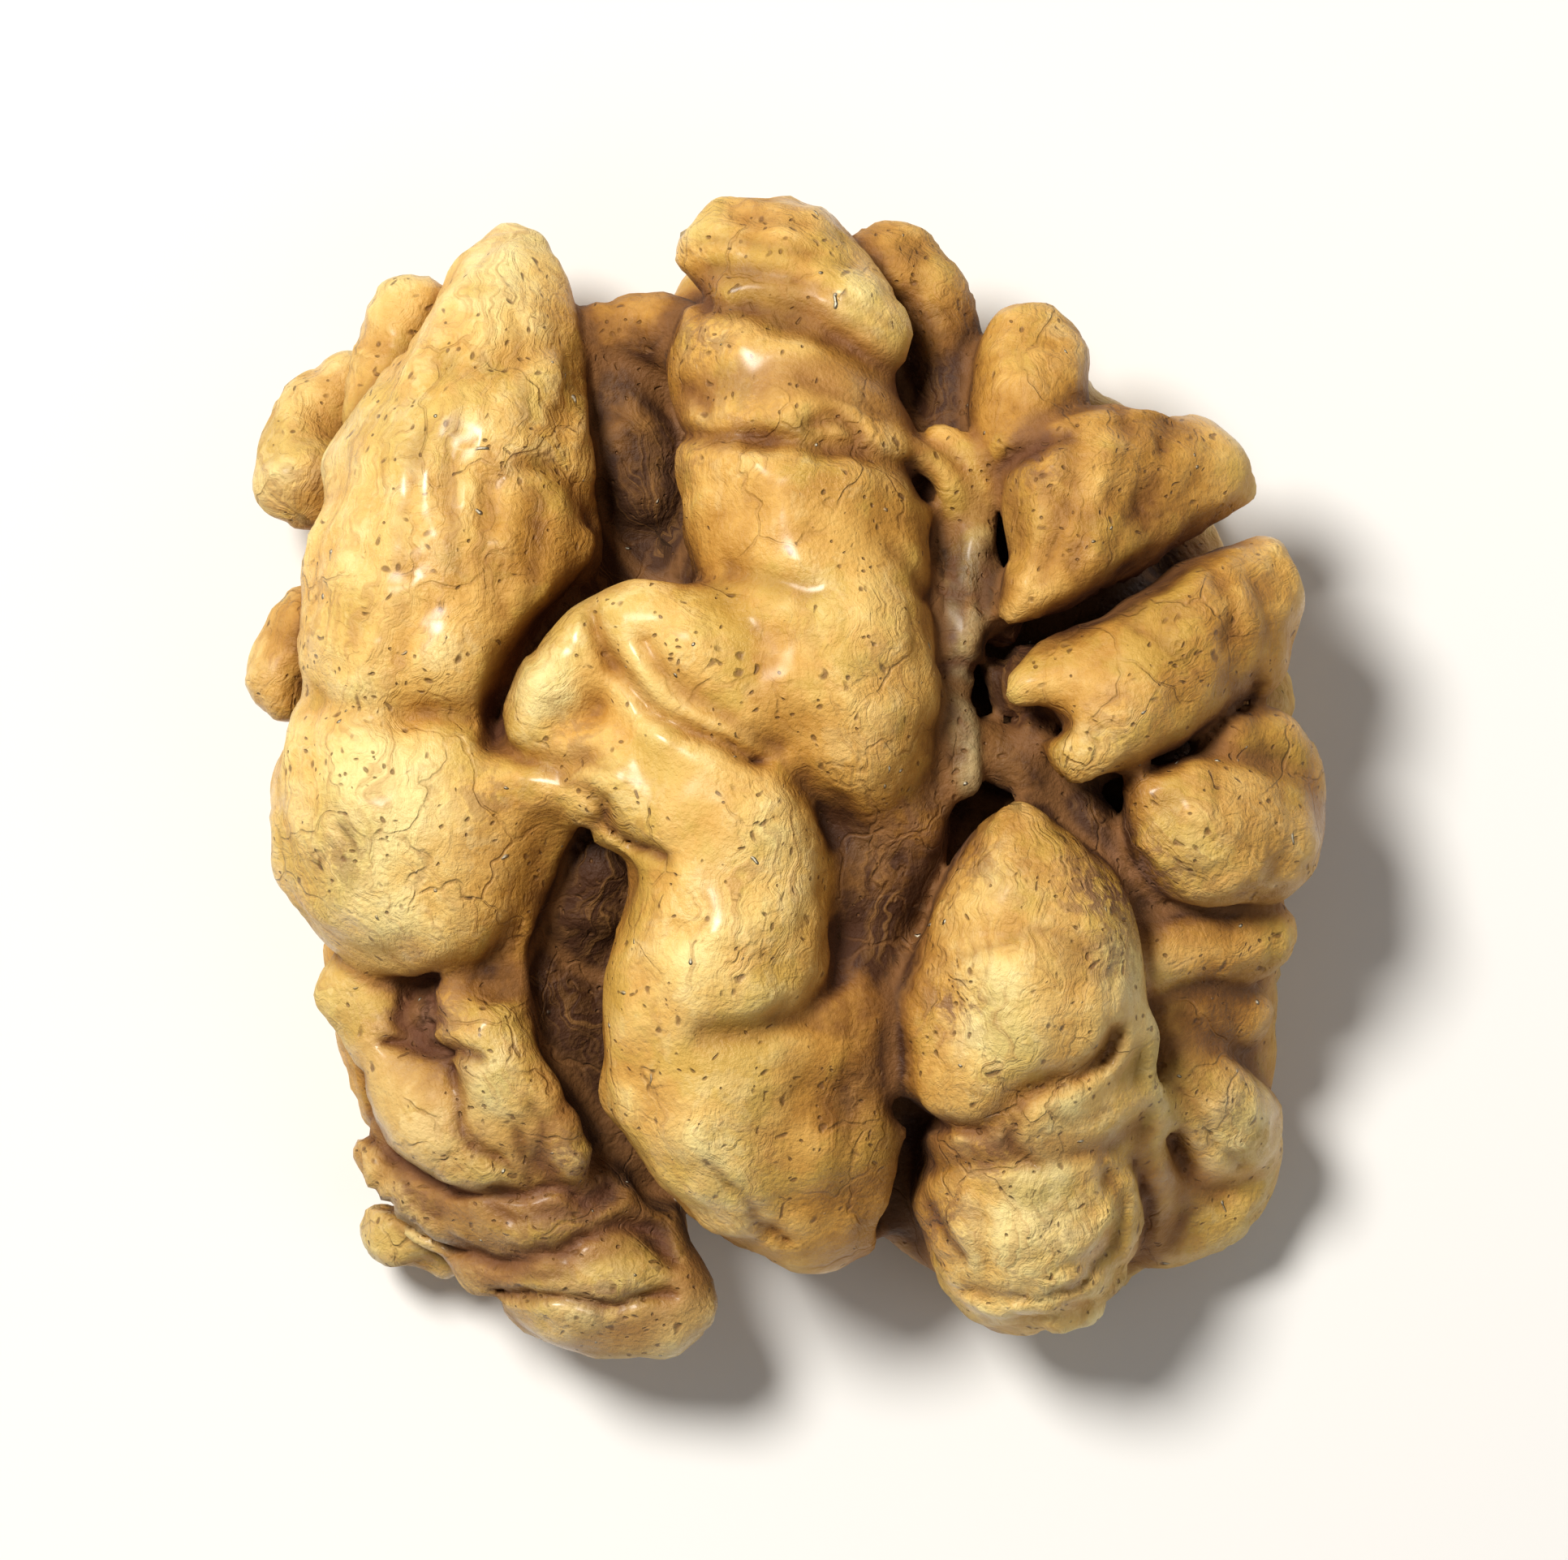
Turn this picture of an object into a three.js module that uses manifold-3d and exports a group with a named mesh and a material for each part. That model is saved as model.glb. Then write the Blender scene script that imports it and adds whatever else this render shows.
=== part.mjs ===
// A shelled walnut half, lying with its folded outer face up. One piece, millimetres, +Z up.
// Origin: on the surface it rests on, under the middle of its outline.
// X runs across the half, Y along it; the groove between its two lobes runs along Y at x = 4 to 6.

import * as THREE from "three";
import { mergeVertices } from "three/addons/utils/BufferGeometryUtils.js";
import Module from "manifold-3d";

const wasm = await Module();
wasm.setup();

// ---------------------------------------------------------------- driving dimensions

// The crests of the folds touch a dome that stands on an upright rim.
const DOME_HALF_WIDTH = 16.0;
const DOME_HALF_LENGTH = 17.0;
const RIM_HEIGHT = 4.6;
const DOME_RISE = 8.9;

// Each fold is a round-ended tube of changing radius.
const STEP_PER_RADIUS = 0.8; // spacing of its rings, as a share of its mean radius
const SHORTEST_STEP = 1.2;
const WIDE_CAP_RINGS = 3; // rings in the round end of a wide fold
const NARROW_CAP_RINGS = 2;
const WIDE_SIDES = 10; // sides of a wide fold
const NARROW_SIDES = 7; // sides of a narrow one
const THREAD_SIDES = 5; // sides of a thread of skin
const WIDE_RADIUS = 2.2;
const THREAD_RADIUS = 0.6;
const SPINE_TENSION = 0.5;

// The body under the folds, and the hollow that the partition of the shell left in its inner face.
const BODY_CENTRE = [-0.2, -0.8, 5.3];
const BODY_SIZE = [24.6, 26.0, 9.6];
const HOLLOW_CENTRE = [0.0, -1.8, 0.4];
const HOLLOW_SIZE = [11.6, 20.0, 10.8];
const ELLIPSOID_SIDES = 24;
const ELLIPSOID_RINGS = 14;

// Moves the folds so that the origin is under the middle of the whole outline.
const CENTRING_SHIFT = [0.05, 0.28, 0];

const MERGE_DISTANCE = 1e-5; // corners closer than this are one corner
const CUTTING_BLOCK = [60, 60, 20]; // wider than the half; it trims what would reach below the surface
const SKIN_TAN = 0xc69a55;

// ---------------------------------------------------------------- the folds

// Folds that show from above. A point is [x, y, radius, depth of the crest under the dome].
const CROWN_FOLDS = {
  leftFinger: [
    [-8.0, 14.3, 1.3, 0.2], [-8.15, 12.6, 2.1, 0.0], [-8.45, 10.4, 2.8, 0.0], [-9.1, 8.0, 3.75, 0.0],
    [-9.4, 5.6, 4.1, 0.0], [-10.1, 3.4, 3.8, 0.2], [-10.5, 1.8, 3.5, 0.6], [-10.45, -1.0, 4.05, 0.0],
    [-10.2, -1.9, 4.0, 0.2],
  ],
  shoulder: [[-10.7, 13.0, 1.2, -1.0], [-11.2, 11.6, 1.35, 0.6], [-11.6, 10.4, 1.2, 1.4]],
  leftKnobUpper: [[-12.6, 11.0, 1.25, 1.0], [-13.5, 9.7, 1.45, 0.6], [-13.75, 8.3, 1.35, 1.0]],
  leftKnobLower: [[-13.8, 4.0, 1.2, 2.8], [-14.2, 2.7, 1.3, 2.8]],
  neck: [
    [-9.0, -0.8, 2.3, 1.3], [-7.5, -0.3, 1.9, 1.6], [-5.8, 0.1, 1.75, 1.2], [-4.2, -0.5, 1.7, 0.8],
    [-2.8, -1.2, 1.8, 0.5],
  ],
  bridgeLobe: [[-7.1, 1.6, 1.3, 1.0], [-6.5, 2.7, 1.7, 0.6], [-5.6, 3.8, 1.4, 0.7], [-5.4, 4.2, 1.05, 0.9]],
  bridge: [
    [-4.4, 3.7, 1.3, 0.9], [-3.6, 2.2, 1.4, 0.8], [-2.6, 0.9, 1.5, 0.6], [-1.6, -0.6, 1.7, 0.5],
    [-1.0, -2.0, 2.0, 0.3], [-1.3, -3.6, 2.5, 0.1], [-1.75, -5.1, 3.05, 0.0], [-2.2, -6.4, 2.75, 0.4],
  ],
  tail: [
    [-2.3, -7.2, 2.75, 0.5], [-2.25, -8.8, 2.65, 0.4], [-1.5, -10.4, 2.3, 0.8], [-0.4, -12.0, 1.6, 1.7],
    [0.4, -13.1, 0.95, 2.5],
  ],
  bridgeShoulder: [[-3.4, 3.8, 1.3, 0.8], [-2.2, 3.2, 1.8, 0.4], [-0.8, 2.2, 2.0, 0.4]],
  columnCap: [
    [-1.3, 14.5, 1.75, 0.0], [0.0, 13.9, 2.2, -0.3], [1.5, 12.8, 1.75, 0.0], [2.2, 12.2, 1.3, 0.6],
  ],
  columnSecond: [[-0.6, 12.2, 2.35, 0.3], [-0.1, 11.2, 3.2, 0.3], [0.4, 10.3, 3.15, 0.5]],
  columnThird: [[0.2, 8.9, 3.35, 0.3], [0.45, 7.4, 3.5, 0.1], [0.6, 6.3, 3.2, 0.4]],
  columnFourth: [
    [0.85, 5.0, 3.15, 0.2], [1.0, 3.5, 3.15, 0.0], [1.5, 1.9, 2.8, 0.4], [1.8, 1.2, 2.3, 0.9],
  ],
  apron: [[2.5, 0.4, 1.9, 2.2], [2.7, -1.8, 1.9, 2.8], [2.2, -4.2, 1.9, 3.2], [1.8, -6.2, 1.8, 3.4]],
  tailSide: [[1.0, -7.2, 1.9, 2.2], [0.9, -9.6, 2.1, 1.9], [1.0, -11.6, 1.8, 2.4], [1.2, -12.8, 1.2, 3.0]],
  heel: [[-9.8, -7.6, 1.7, 2.7], [-9.4, -8.8, 2.3, 2.1], [-8.5, -10.0, 2.7, 1.6], [-7.6, -10.9, 2.4, 1.9]],
  heelKnob: [[-12.1, -6.1, 1.0, 2.3], [-11.3, -7.1, 1.15, 2.2]],
  heelRidge: [
    [-9.2, -6.6, 0.9, 2.1], [-8.4, -7.7, 1.05, 1.4], [-7.6, -8.9, 1.0, 1.5], [-6.9, -9.8, 0.75, 2.2],
  ],
  heelBulge: [[-10.9, -8.4, 1.1, 1.9], [-10.3, -9.8, 1.3, 1.5]],
  heelCurl: [[-6.5, -10.1, 0.55, 2.2], [-6.0, -10.8, 0.6, 2.3], [-6.3, -11.6, 0.6, 2.3]],
  heelSecond: [
    [-10.9, -10.9, 1.5, 2.2], [-9.2, -12.0, 1.9, 1.7], [-7.4, -12.4, 2.2, 1.6], [-5.9, -12.5, 1.75, 2.4],
  ],
  heelThird: [[-8.0, -13.6, 1.6, 1.6], [-6.2, -14.0, 2.2, 1.4], [-4.6, -14.1, 2.1, 2.0]],
  heelFourth: [[-7.0, -15.0, 1.3, 1.4], [-5.2, -15.2, 1.5, 1.6], [-3.6, -15.0, 1.5, 2.0]],
  heelCrumb: [[-10.9, -13.2, 1.1, 1.1], [-9.9, -13.9, 0.8, 1.4]],
  valleyFoldLeft: [[-7.3, -5.6, 1.3, 4.4], [-6.4, -7.2, 1.2, 4.8], [-5.6, -9.0, 1.0, 5.2]],
  valleyFoldRight: [[-5.2, -2.6, 1.2, 4.2], [-5.8, -4.2, 1.2, 4.8]],
  notchRidge: [[-6.0, 12.0, 1.0, 3.4], [-4.6, 12.4, 0.95, 3.6], [-2.8, 12.5, 1.0, 3.2]],
  notchDisc: [[-5.0, 10.6, 1.4, 4.4], [-4.4, 9.2, 1.5, 4.6], [-4.0, 8.0, 1.3, 5.0]],
  grooveRim: [[2.9, 14.5, 1.1, 1.6], [4.1, 13.2, 1.2, 2.4], [4.7, 11.2, 1.2, 3.2], [4.7, 9.2, 1.0, 3.8]],
  grooveThreadLeft: [
    [3.5, 8.9, 0.35, 2.2], [4.2, 8.4, 0.38, 2.4], [4.75, 7.6, 0.38, 2.8], [4.9, 6.8, 0.35, 3.3],
  ],
  grooveThreadRight: [
    [4.3, 9.4, 0.35, 2.6], [5.05, 8.9, 0.4, 2.5], [5.45, 8.1, 0.4, 2.7], [5.5, 7.0, 0.35, 3.3],
  ],
  grooveFlap: [[5.3, 6.4, 0.6, 2.9], [5.1, 5.0, 1.0, 2.7], [4.8, 3.5, 0.8, 2.9], [4.6, 2.6, 0.5, 3.2]],
  grooveFlapLow: [[4.45, 1.9, 0.45, 2.9], [4.8, 1.0, 0.6, 2.9], [4.9, -0.2, 0.5, 3.2]],
  grooveKnob: [[5.5, 0.7, 0.7, 3.6], [6.6, 0.1, 0.7, 3.4]],
  grooveFloor: [[6.1, 4.4, 0.8, 3.5], [6.6, 2.8, 1.0, 3.2], [7.2, 1.2, 0.9, 3.2]],
  rightKnob: [[7.0, 11.5, 1.75, 0.9], [6.8, 10.3, 1.6, 0.9], [6.7, 9.3, 1.2, 1.3]],
  rightEar: [
    [11.0, 8.6, 1.35, 0.6], [9.4, 8.6, 1.7, 0.1], [8.2, 8.2, 1.7, 0.0], [7.9, 6.8, 1.7, 0.3],
    [7.4, 5.2, 1.2, 0.9], [6.9, 3.9, 0.8, 1.6],
  ],
  rightEarMiddle: [
    [11.8, 7.9, 1.4, 0.6], [10.8, 6.8, 1.55, 0.7], [9.3, 5.5, 1.35, 1.0], [7.9, 4.5, 1.0, 1.5],
  ],
  rightPaw: [
    [12.7, 5.0, 1.9, 0.5], [11.6, 4.3, 2.2, 0.1], [10.4, 3.2, 2.25, 0.0], [9.3, 1.9, 1.95, 0.2],
    [8.6, 0.9, 1.4, 0.7],
  ],
  rightPawSide: [[12.9, 3.0, 1.3, 0.9], [11.4, 1.9, 1.3, 1.0], [10.0, 0.9, 1.0, 1.2]],
  rightPawToe: [[6.95, 2.3, 0.75, 1.4], [8.0, 2.7, 1.0, 1.0], [9.0, 3.1, 1.3, 0.6]],
  rightBulb: [[10.5, -0.7, 1.3, 0.9], [11.7, -1.6, 2.15, 0.3], [13.2, -1.8, 2.05, 0.4]],
  rightBrow: [[12.2, 1.0, 1.2, 1.3], [13.6, 0.4, 1.3, 1.2], [14.1, -1.2, 1.3, 1.0]],
  rightShelf: [
    [10.3, -5.3, 1.1, 2.5], [11.3, -4.9, 1.3, 2.3], [12.7, -4.8, 1.5, 2.1], [13.3, -4.7, 1.2, 2.2],
  ],
  rightShelfLow: [[10.6, -7.0, 1.2, 2.7], [11.5, -6.8, 1.4, 2.7], [12.6, -6.9, 1.35, 2.7]],
  rightThumb: [
    [11.0, -8.3, 1.2, 2.2], [12.0, -9.5, 1.65, 1.2], [12.45, -10.9, 1.7, 0.5], [12.0, -12.2, 1.5, 0.7],
    [11.0, -13.1, 1.2, 0.9],
  ],
  pitFold: [[8.6, -1.4, 0.9, 3.2], [9.6, -3.0, 0.9, 3.4], [10.4, -4.6, 0.9, 3.4]],
  bean: [
    [6.55, -2.0, 1.0, 1.6], [6.7, -3.2, 2.0, 0.9], [6.8, -4.9, 3.05, 0.2], [6.6, -6.6, 3.5, 0.0],
    [6.2, -8.0, 3.15, 0.4],
  ],
  beanKnuckle: [[6.9, -9.9, 1.4, 0.8], [8.0, -9.6, 1.45, 0.7], [8.8, -9.3, 1.1, 1.0]],
  beanFoot: [[6.8, -10.8, 3.15, 0.6], [6.9, -12.1, 3.4, 0.4], [7.2, -13.2, 2.9, 0.7]],
  beanHem: [
    [9.9, -10.3, 0.85, 1.8], [10.3, -11.8, 0.85, 1.8], [9.9, -13.5, 0.9, 1.9], [8.3, -14.9, 0.9, 2.2],
    [6.2, -15.0, 0.85, 2.4],
  ],
  hemCurl: [
    [9.1, -7.8, 0.3, 0.9], [9.5, -7.1, 0.3, 0.9], [10.1, -7.4, 0.3, 1.1], [10.25, -8.8, 0.32, 1.4],
    [10.7, -10.0, 0.3, 1.7],
  ],
  hemCurlLow: [[10.6, -11.4, 0.3, 1.5], [11.1, -12.1, 0.32, 1.6], [11.4, -13.1, 0.3, 1.9]],
};

// Folds that curl round the edge to the inner face. A point is [x, y, z of the centre, radius].
const EDGE_FOLDS = {
  edgeLeftFinger: [
    [-8.2, 12.4, 4.2, 1.8], [-9.4, 10.4, 3.0, 2.3], [-10.5, 7.4, 2.3, 2.7], [-10.8, 4.6, 2.8, 2.6],
  ],
  edgeLeftBulb: [[-11.0, 2.4, 3.0, 2.4], [-11.2, -0.4, 3.1, 2.7], [-10.6, -3.0, 3.1, 2.5]],
  edgeHeel: [
    [-11.3, -5.4, 3.2, 1.9], [-10.4, -8.2, 2.7, 2.4], [-8.8, -10.8, 2.1, 2.5], [-6.8, -12.9, 2.8, 2.3],
    [-4.8, -13.3, 3.4, 1.9],
  ],
  edgeTail: [[-0.6, -10.6, 4.6, 2.2], [0.2, -11.8, 3.4, 1.7], [0.4, -12.3, 2.6, 1.3]],
  edgeBean: [[4.4, -11.8, 3.6, 2.0], [6.6, -12.6, 3.1, 2.4], [9.2, -11.8, 2.8, 2.4]],
  edgeRightLower: [[11.0, -10.4, 2.7, 2.3], [11.6, -7.8, 2.05, 2.45], [11.8, -4.6, 2.8, 2.4]],
  edgeRightMiddle: [[12.1, -2.2, 3.0, 2.3], [12.2, 0.8, 2.6, 2.4], [11.5, 3.6, 2.8, 2.3]],
  edgeRightUpper: [[10.5, 5.6, 2.8, 2.2], [9.2, 7.6, 1.95, 2.45], [7.4, 9.8, 3.0, 2.0]],
  edgeColumn: [
    [4.4, 11.2, 3.6, 1.9], [2.2, 12.6, 3.0, 2.1], [-0.4, 13.2, 3.0, 2.1], [-2.2, 12.2, 3.8, 1.7],
  ],
  edgeNotch: [[-6.4, 10.6, 4.0, 1.8], [-4.4, 10.8, 4.4, 1.7], [-2.6, 11.2, 4.2, 1.8]],
};

// Valleys between the crown folds, cut into the body. A point is [x, y, radius, depth of the middle
// of the cut under the body's top].
const VALLEYS = {
  upperLeft: [[-4.7, 13.4, 1.8, 0.5], [-4.4, 10.4, 1.7, 0.6], [-4.0, 7.4, 1.9, 1.0], [-3.9, 5.9, 1.8, 1.2]],
  lowerLeft: [
    [-5.2, -2.6, 1.2, 0.6], [-5.6, -5.0, 1.6, 1.0], [-5.4, -8.0, 1.5, 1.0], [-4.0, -11.5, 1.6, 0.8],
    [-2.8, -14.0, 1.8, 0.5],
  ],
  middleGroove: [
    [5.2, 12.4, 1.2, 0.6], [5.5, 9.0, 1.3, 0.9], [5.9, 5.5, 1.4, 1.1], [6.2, 2.6, 1.6, 1.2],
    [5.4, -0.8, 1.3, 1.0], [3.6, -4.0, 1.2, 0.9], [3.0, -8.0, 1.2, 0.9], [3.0, -12.4, 1.4, 0.6],
  ],
  rightPit: [[9.6, -1.6, 1.2, 0.8], [10.6, -4.6, 1.2, 0.8], [10.6, -8.0, 1.3, 0.8]],
};

// The smooth inner face: two long pads beside the hollow, and the bridge that joins them at one end.
const INNER_PADS = {
  padLeft: [
    [-5.6, 8.4, 3.6, 2.0], [-7.3, 4.6, 3.4, 2.6], [-7.7, -0.6, 3.3, 2.8], [-7.0, -5.6, 3.3, 2.6],
    [-5.4, -9.8, 3.6, 2.1],
  ],
  padRight: [
    [5.4, 7.8, 3.6, 2.0], [7.4, 4.0, 3.4, 2.6], [7.9, -1.0, 3.3, 2.8], [7.4, -5.8, 3.3, 2.6],
    [5.9, -9.4, 3.6, 2.1],
  ],
  padBridge: [[-3.6, 9.4, 3.8, 2.0], [0.2, 10.0, 3.4, 2.3], [3.8, 9.2, 3.8, 2.0]],
};

// ---------------------------------------------------------------- solids

// The height of the dome that the crests touch.
function domeHeight(x, y) {
  const share = 1 - (x / DOME_HALF_WIDTH) ** 2 - (y / DOME_HALF_LENGTH) ** 2;
  return RIM_HEIGHT + DOME_RISE * Math.sqrt(Math.max(0, share));
}

// A point of a crown fold, as the centre and radius of the tube there.
function crownPoint([x, y, radius, depth]) {
  return { centre: new THREE.Vector3(x, y, domeHeight(x, y) - depth - radius), radius };
}

// A point of a valley, cut down from the top of the body's ellipsoid.
function valleyPoint([x, y, radius, depth]) {
  const acrossShare = (x - BODY_CENTRE[0]) / (BODY_SIZE[0] / 2);
  const alongShare = (y - BODY_CENTRE[1]) / (BODY_SIZE[1] / 2);
  const rise = Math.sqrt(Math.max(0, 1 - acrossShare ** 2 - alongShare ** 2));
  return { centre: new THREE.Vector3(x, y, BODY_CENTRE[2] + (rise * BODY_SIZE[2]) / 2 - depth), radius };
}

function edgePoint([x, y, z, radius]) {
  return { centre: new THREE.Vector3(x, y, z), radius };
}

// A closed mesh with shared vertices merged, as a solid that can be joined and cut.
function solidFrom(geometry) {
  geometry.deleteAttribute("normal");
  geometry.deleteAttribute("uv");
  const merged = mergeVertices(geometry, MERGE_DISTANCE);
  const corners = merged.index.array;
  const kept = [];
  for (let i = 0; i < corners.length; i += 3) {
    const [a, b, c] = [corners[i], corners[i + 1], corners[i + 2]];
    if (a !== b && b !== c && c !== a) kept.push(a, b, c);
  }
  const mesh = new wasm.Mesh({
    numProp: 3,
    vertProperties: new Float32Array(merged.attributes.position.array),
    triVerts: new Uint32Array(kept),
  });
  return new wasm.Manifold(mesh);
}

function sidesFor(radius) {
  if (radius < THREAD_RADIUS) return THREAD_SIDES;
  return radius < WIDE_RADIUS ? NARROW_SIDES : WIDE_SIDES;
}

// A round-ended tube of changing radius: a lathed capsule, bent along the fold's spine.
function foldSolid(points) {
  const spine = new THREE.CatmullRomCurve3(points.map((p) => p.centre), false, "catmullrom", SPINE_TENSION);
  const girth = new THREE.CatmullRomCurve3(
    points.map((p) => new THREE.Vector3(p.radius, 0, 0)), false, "catmullrom", SPINE_TENSION,
  );
  const meanRadius = points.reduce((sum, p) => sum + p.radius, 0) / points.length;
  const step = Math.max(SHORTEST_STEP, STEP_PER_RADIUS * meanRadius);
  const steps = Math.max(2, Math.round(spine.getLength() / step));
  const frames = spine.computeFrenetFrames(steps, false);

  // The capsule's profile: a round end, one ring for each step of the spine, a round end.
  const capRings = meanRadius < WIDE_RADIUS ? NARROW_CAP_RINGS : WIDE_CAP_RINGS;
  const profile = [];
  for (let i = 0; i < capRings; i++) {
    const angle = (i / capRings) * (Math.PI / 2);
    profile.push(new THREE.Vector2(Math.sin(angle), -Math.cos(angle)));
  }
  for (let i = 0; i <= steps; i++) profile.push(new THREE.Vector2(1, i));
  for (let i = capRings - 1; i >= 0; i--) {
    const angle = (i / capRings) * (Math.PI / 2);
    profile.push(new THREE.Vector2(Math.sin(angle), steps + Math.cos(angle)));
  }
  const capsule = new THREE.LatheGeometry(profile, sidesFor(meanRadius));

  const position = capsule.attributes.position;
  const vertex = new THREE.Vector3();
  for (let i = 0; i < position.count; i++) {
    vertex.fromBufferAttribute(position, i);
    const along = THREE.MathUtils.clamp(vertex.y, 0, steps);
    const beyond = vertex.y - along;
    const ring = Math.round(along);
    const share = spine.getUtoTmapping(ring / steps);
    const radius = girth.getPoint(share).x;
    const place = spine.getPoint(share);
    place.addScaledVector(frames.normals[ring], radius * vertex.x);
    place.addScaledVector(frames.binormals[ring], -radius * vertex.z);
    place.addScaledVector(frames.tangents[ring], radius * beyond);
    position.setXYZ(i, place.x, place.y, place.z);
  }
  return solidFrom(capsule);
}

function ellipsoidSolid(centre, size) {
  const ball = new THREE.SphereGeometry(0.5, ELLIPSOID_SIDES, ELLIPSOID_RINGS);
  ball.rotateX(Math.PI / 2);
  ball.scale(...size);
  ball.translate(...centre);
  return solidFrom(ball);
}

function belowSurface() {
  const block = new THREE.BoxGeometry(...CUTTING_BLOCK);
  block.translate(0, 0, -CUTTING_BLOCK[2] / 2);
  return solidFrom(block);
}

// ---------------------------------------------------------------- the walnut half

function kernelSolid() {
  let kernel = ellipsoidSolid(BODY_CENTRE, BODY_SIZE);
  for (const points of Object.values(VALLEYS)) kernel = kernel.subtract(foldSolid(points.map(valleyPoint)));
  for (const points of Object.values(INNER_PADS)) kernel = kernel.add(foldSolid(points.map(edgePoint)));
  kernel = kernel.subtract(ellipsoidSolid(HOLLOW_CENTRE, HOLLOW_SIZE));
  for (const points of Object.values(EDGE_FOLDS)) kernel = kernel.add(foldSolid(points.map(edgePoint)));
  for (const points of Object.values(CROWN_FOLDS)) kernel = kernel.add(foldSolid(points.map(crownPoint)));
  return kernel.subtract(belowSurface());
}

// The outer surface only: gaps that the folds close off inside the solid are filled.
function outerSkin(vertices, triangles) {
  const parent = Array.from({ length: vertices.length / 3 }, (_, i) => i);
  const rootOf = (i) => {
    let root = i;
    while (parent[root] !== root) {
      parent[root] = parent[parent[root]];
      root = parent[root];
    }
    return root;
  };
  for (let i = 0; i < triangles.length; i += 3) {
    parent[rootOf(triangles[i + 1])] = rootOf(triangles[i]);
    parent[rootOf(triangles[i + 2])] = rootOf(triangles[i]);
  }
  const surfaces = new Map();
  for (let i = 0; i < triangles.length; i += 3) {
    const root = rootOf(triangles[i]);
    if (!surfaces.has(root)) surfaces.set(root, []);
    surfaces.get(root).push(triangles[i], triangles[i + 1], triangles[i + 2]);
  }
  return [...surfaces.values()].reduce((most, one) => (one.length > most.length ? one : most));
}

function geometryFrom(solid) {
  const { vertProperties, triVerts } = solid.getMesh();
  const geometry = new THREE.BufferGeometry();
  geometry.setAttribute("position", new THREE.BufferAttribute(vertProperties, 3));
  geometry.setIndex(outerSkin(vertProperties, triVerts));
  geometry.computeVertexNormals();
  return geometry;
}

const walnutSkin = new THREE.MeshStandardMaterial({ color: SKIN_TAN, roughness: 0.6, metalness: 0 });
const kernelMesh = new THREE.Mesh(geometryFrom(kernelSolid()), walnutSkin);
kernelMesh.name = "walnut_kernel";
kernelMesh.position.set(...CENTRING_SHIFT);

const group = new THREE.Group();
group.add(kernelMesh);

export default group;
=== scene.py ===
# %% [markdown]
# # A shelled walnut half
# The object is one half of a walnut's kernel: a single seed leaf, grown against the inside of a
# wrinkled shell, so that its outer face is a crowd of fat folds. It lies with those folds up.
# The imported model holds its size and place. This cell loads it, and keeps its box for later.

# %% Load the frame
import itertools
import math

import bpy
import numpy as np
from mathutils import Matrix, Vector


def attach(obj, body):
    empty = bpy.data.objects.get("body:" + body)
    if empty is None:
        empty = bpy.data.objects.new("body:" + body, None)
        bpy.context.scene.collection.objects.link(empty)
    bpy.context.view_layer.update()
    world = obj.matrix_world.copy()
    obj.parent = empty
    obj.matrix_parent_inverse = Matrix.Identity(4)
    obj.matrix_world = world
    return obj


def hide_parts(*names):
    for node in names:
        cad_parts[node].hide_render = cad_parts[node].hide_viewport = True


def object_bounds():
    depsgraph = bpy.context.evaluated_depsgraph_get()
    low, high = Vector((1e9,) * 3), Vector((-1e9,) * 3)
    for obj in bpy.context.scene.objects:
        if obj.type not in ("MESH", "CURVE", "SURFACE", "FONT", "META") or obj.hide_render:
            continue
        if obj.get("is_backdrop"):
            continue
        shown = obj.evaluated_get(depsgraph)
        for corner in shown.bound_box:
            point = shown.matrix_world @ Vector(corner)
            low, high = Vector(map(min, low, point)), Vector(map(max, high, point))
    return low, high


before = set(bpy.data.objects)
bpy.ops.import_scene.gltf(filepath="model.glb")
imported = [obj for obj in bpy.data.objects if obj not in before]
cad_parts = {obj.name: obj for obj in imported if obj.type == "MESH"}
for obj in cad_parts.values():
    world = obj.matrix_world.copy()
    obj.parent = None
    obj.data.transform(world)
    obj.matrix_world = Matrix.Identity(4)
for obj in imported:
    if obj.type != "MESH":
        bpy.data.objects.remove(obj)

import openvdb
from mathutils import Vector

MM = 0.001
cad_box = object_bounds()
cad_low, cad_high = (np.array(corner) / MM for corner in cad_box)
print("the kernel measures", (cad_high - cad_low).round(1), "mm")

# %% [markdown]
# ## Where each fold runs
# Every fold is a tube with round ends whose radius changes on the way. A fold on the crown is
# written as points of x, y, radius and how deep its crest lies under a dome that all the crests
# touch. A fold that curls round the edge is written as x, y, height of its middle, and radius.
# Writing the folds as spines, and not as a sculpted mesh, keeps each one easy to move. Each line
# of a table is a fold's name and its points, so two small functions come first, to read them.

# %% Tables written as text
def rows_of(text):
    """Rows of numbers, parted by bars."""
    return np.array([row.split() for row in text.split("|")], float)


def entries(text):
    """Each line's key and rows. An indented line carries on the one above, and # marks a note."""
    lines = text.replace("\n ", " ").strip().splitlines()
    pairs = [line.split(":") for line in lines if not line.startswith("#")]
    return [(key, rows_of(rows)) for key, rows in pairs]


# %% The folds, in millimetres
DOME_HALF_WIDTH = 16.0
DOME_HALF_LENGTH = 17.0
RIM_HEIGHT = 4.6
DOME_RISE = 8.9
CENTRING_SHIFT = np.array([0.05, 0.28, 0.0])

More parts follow.
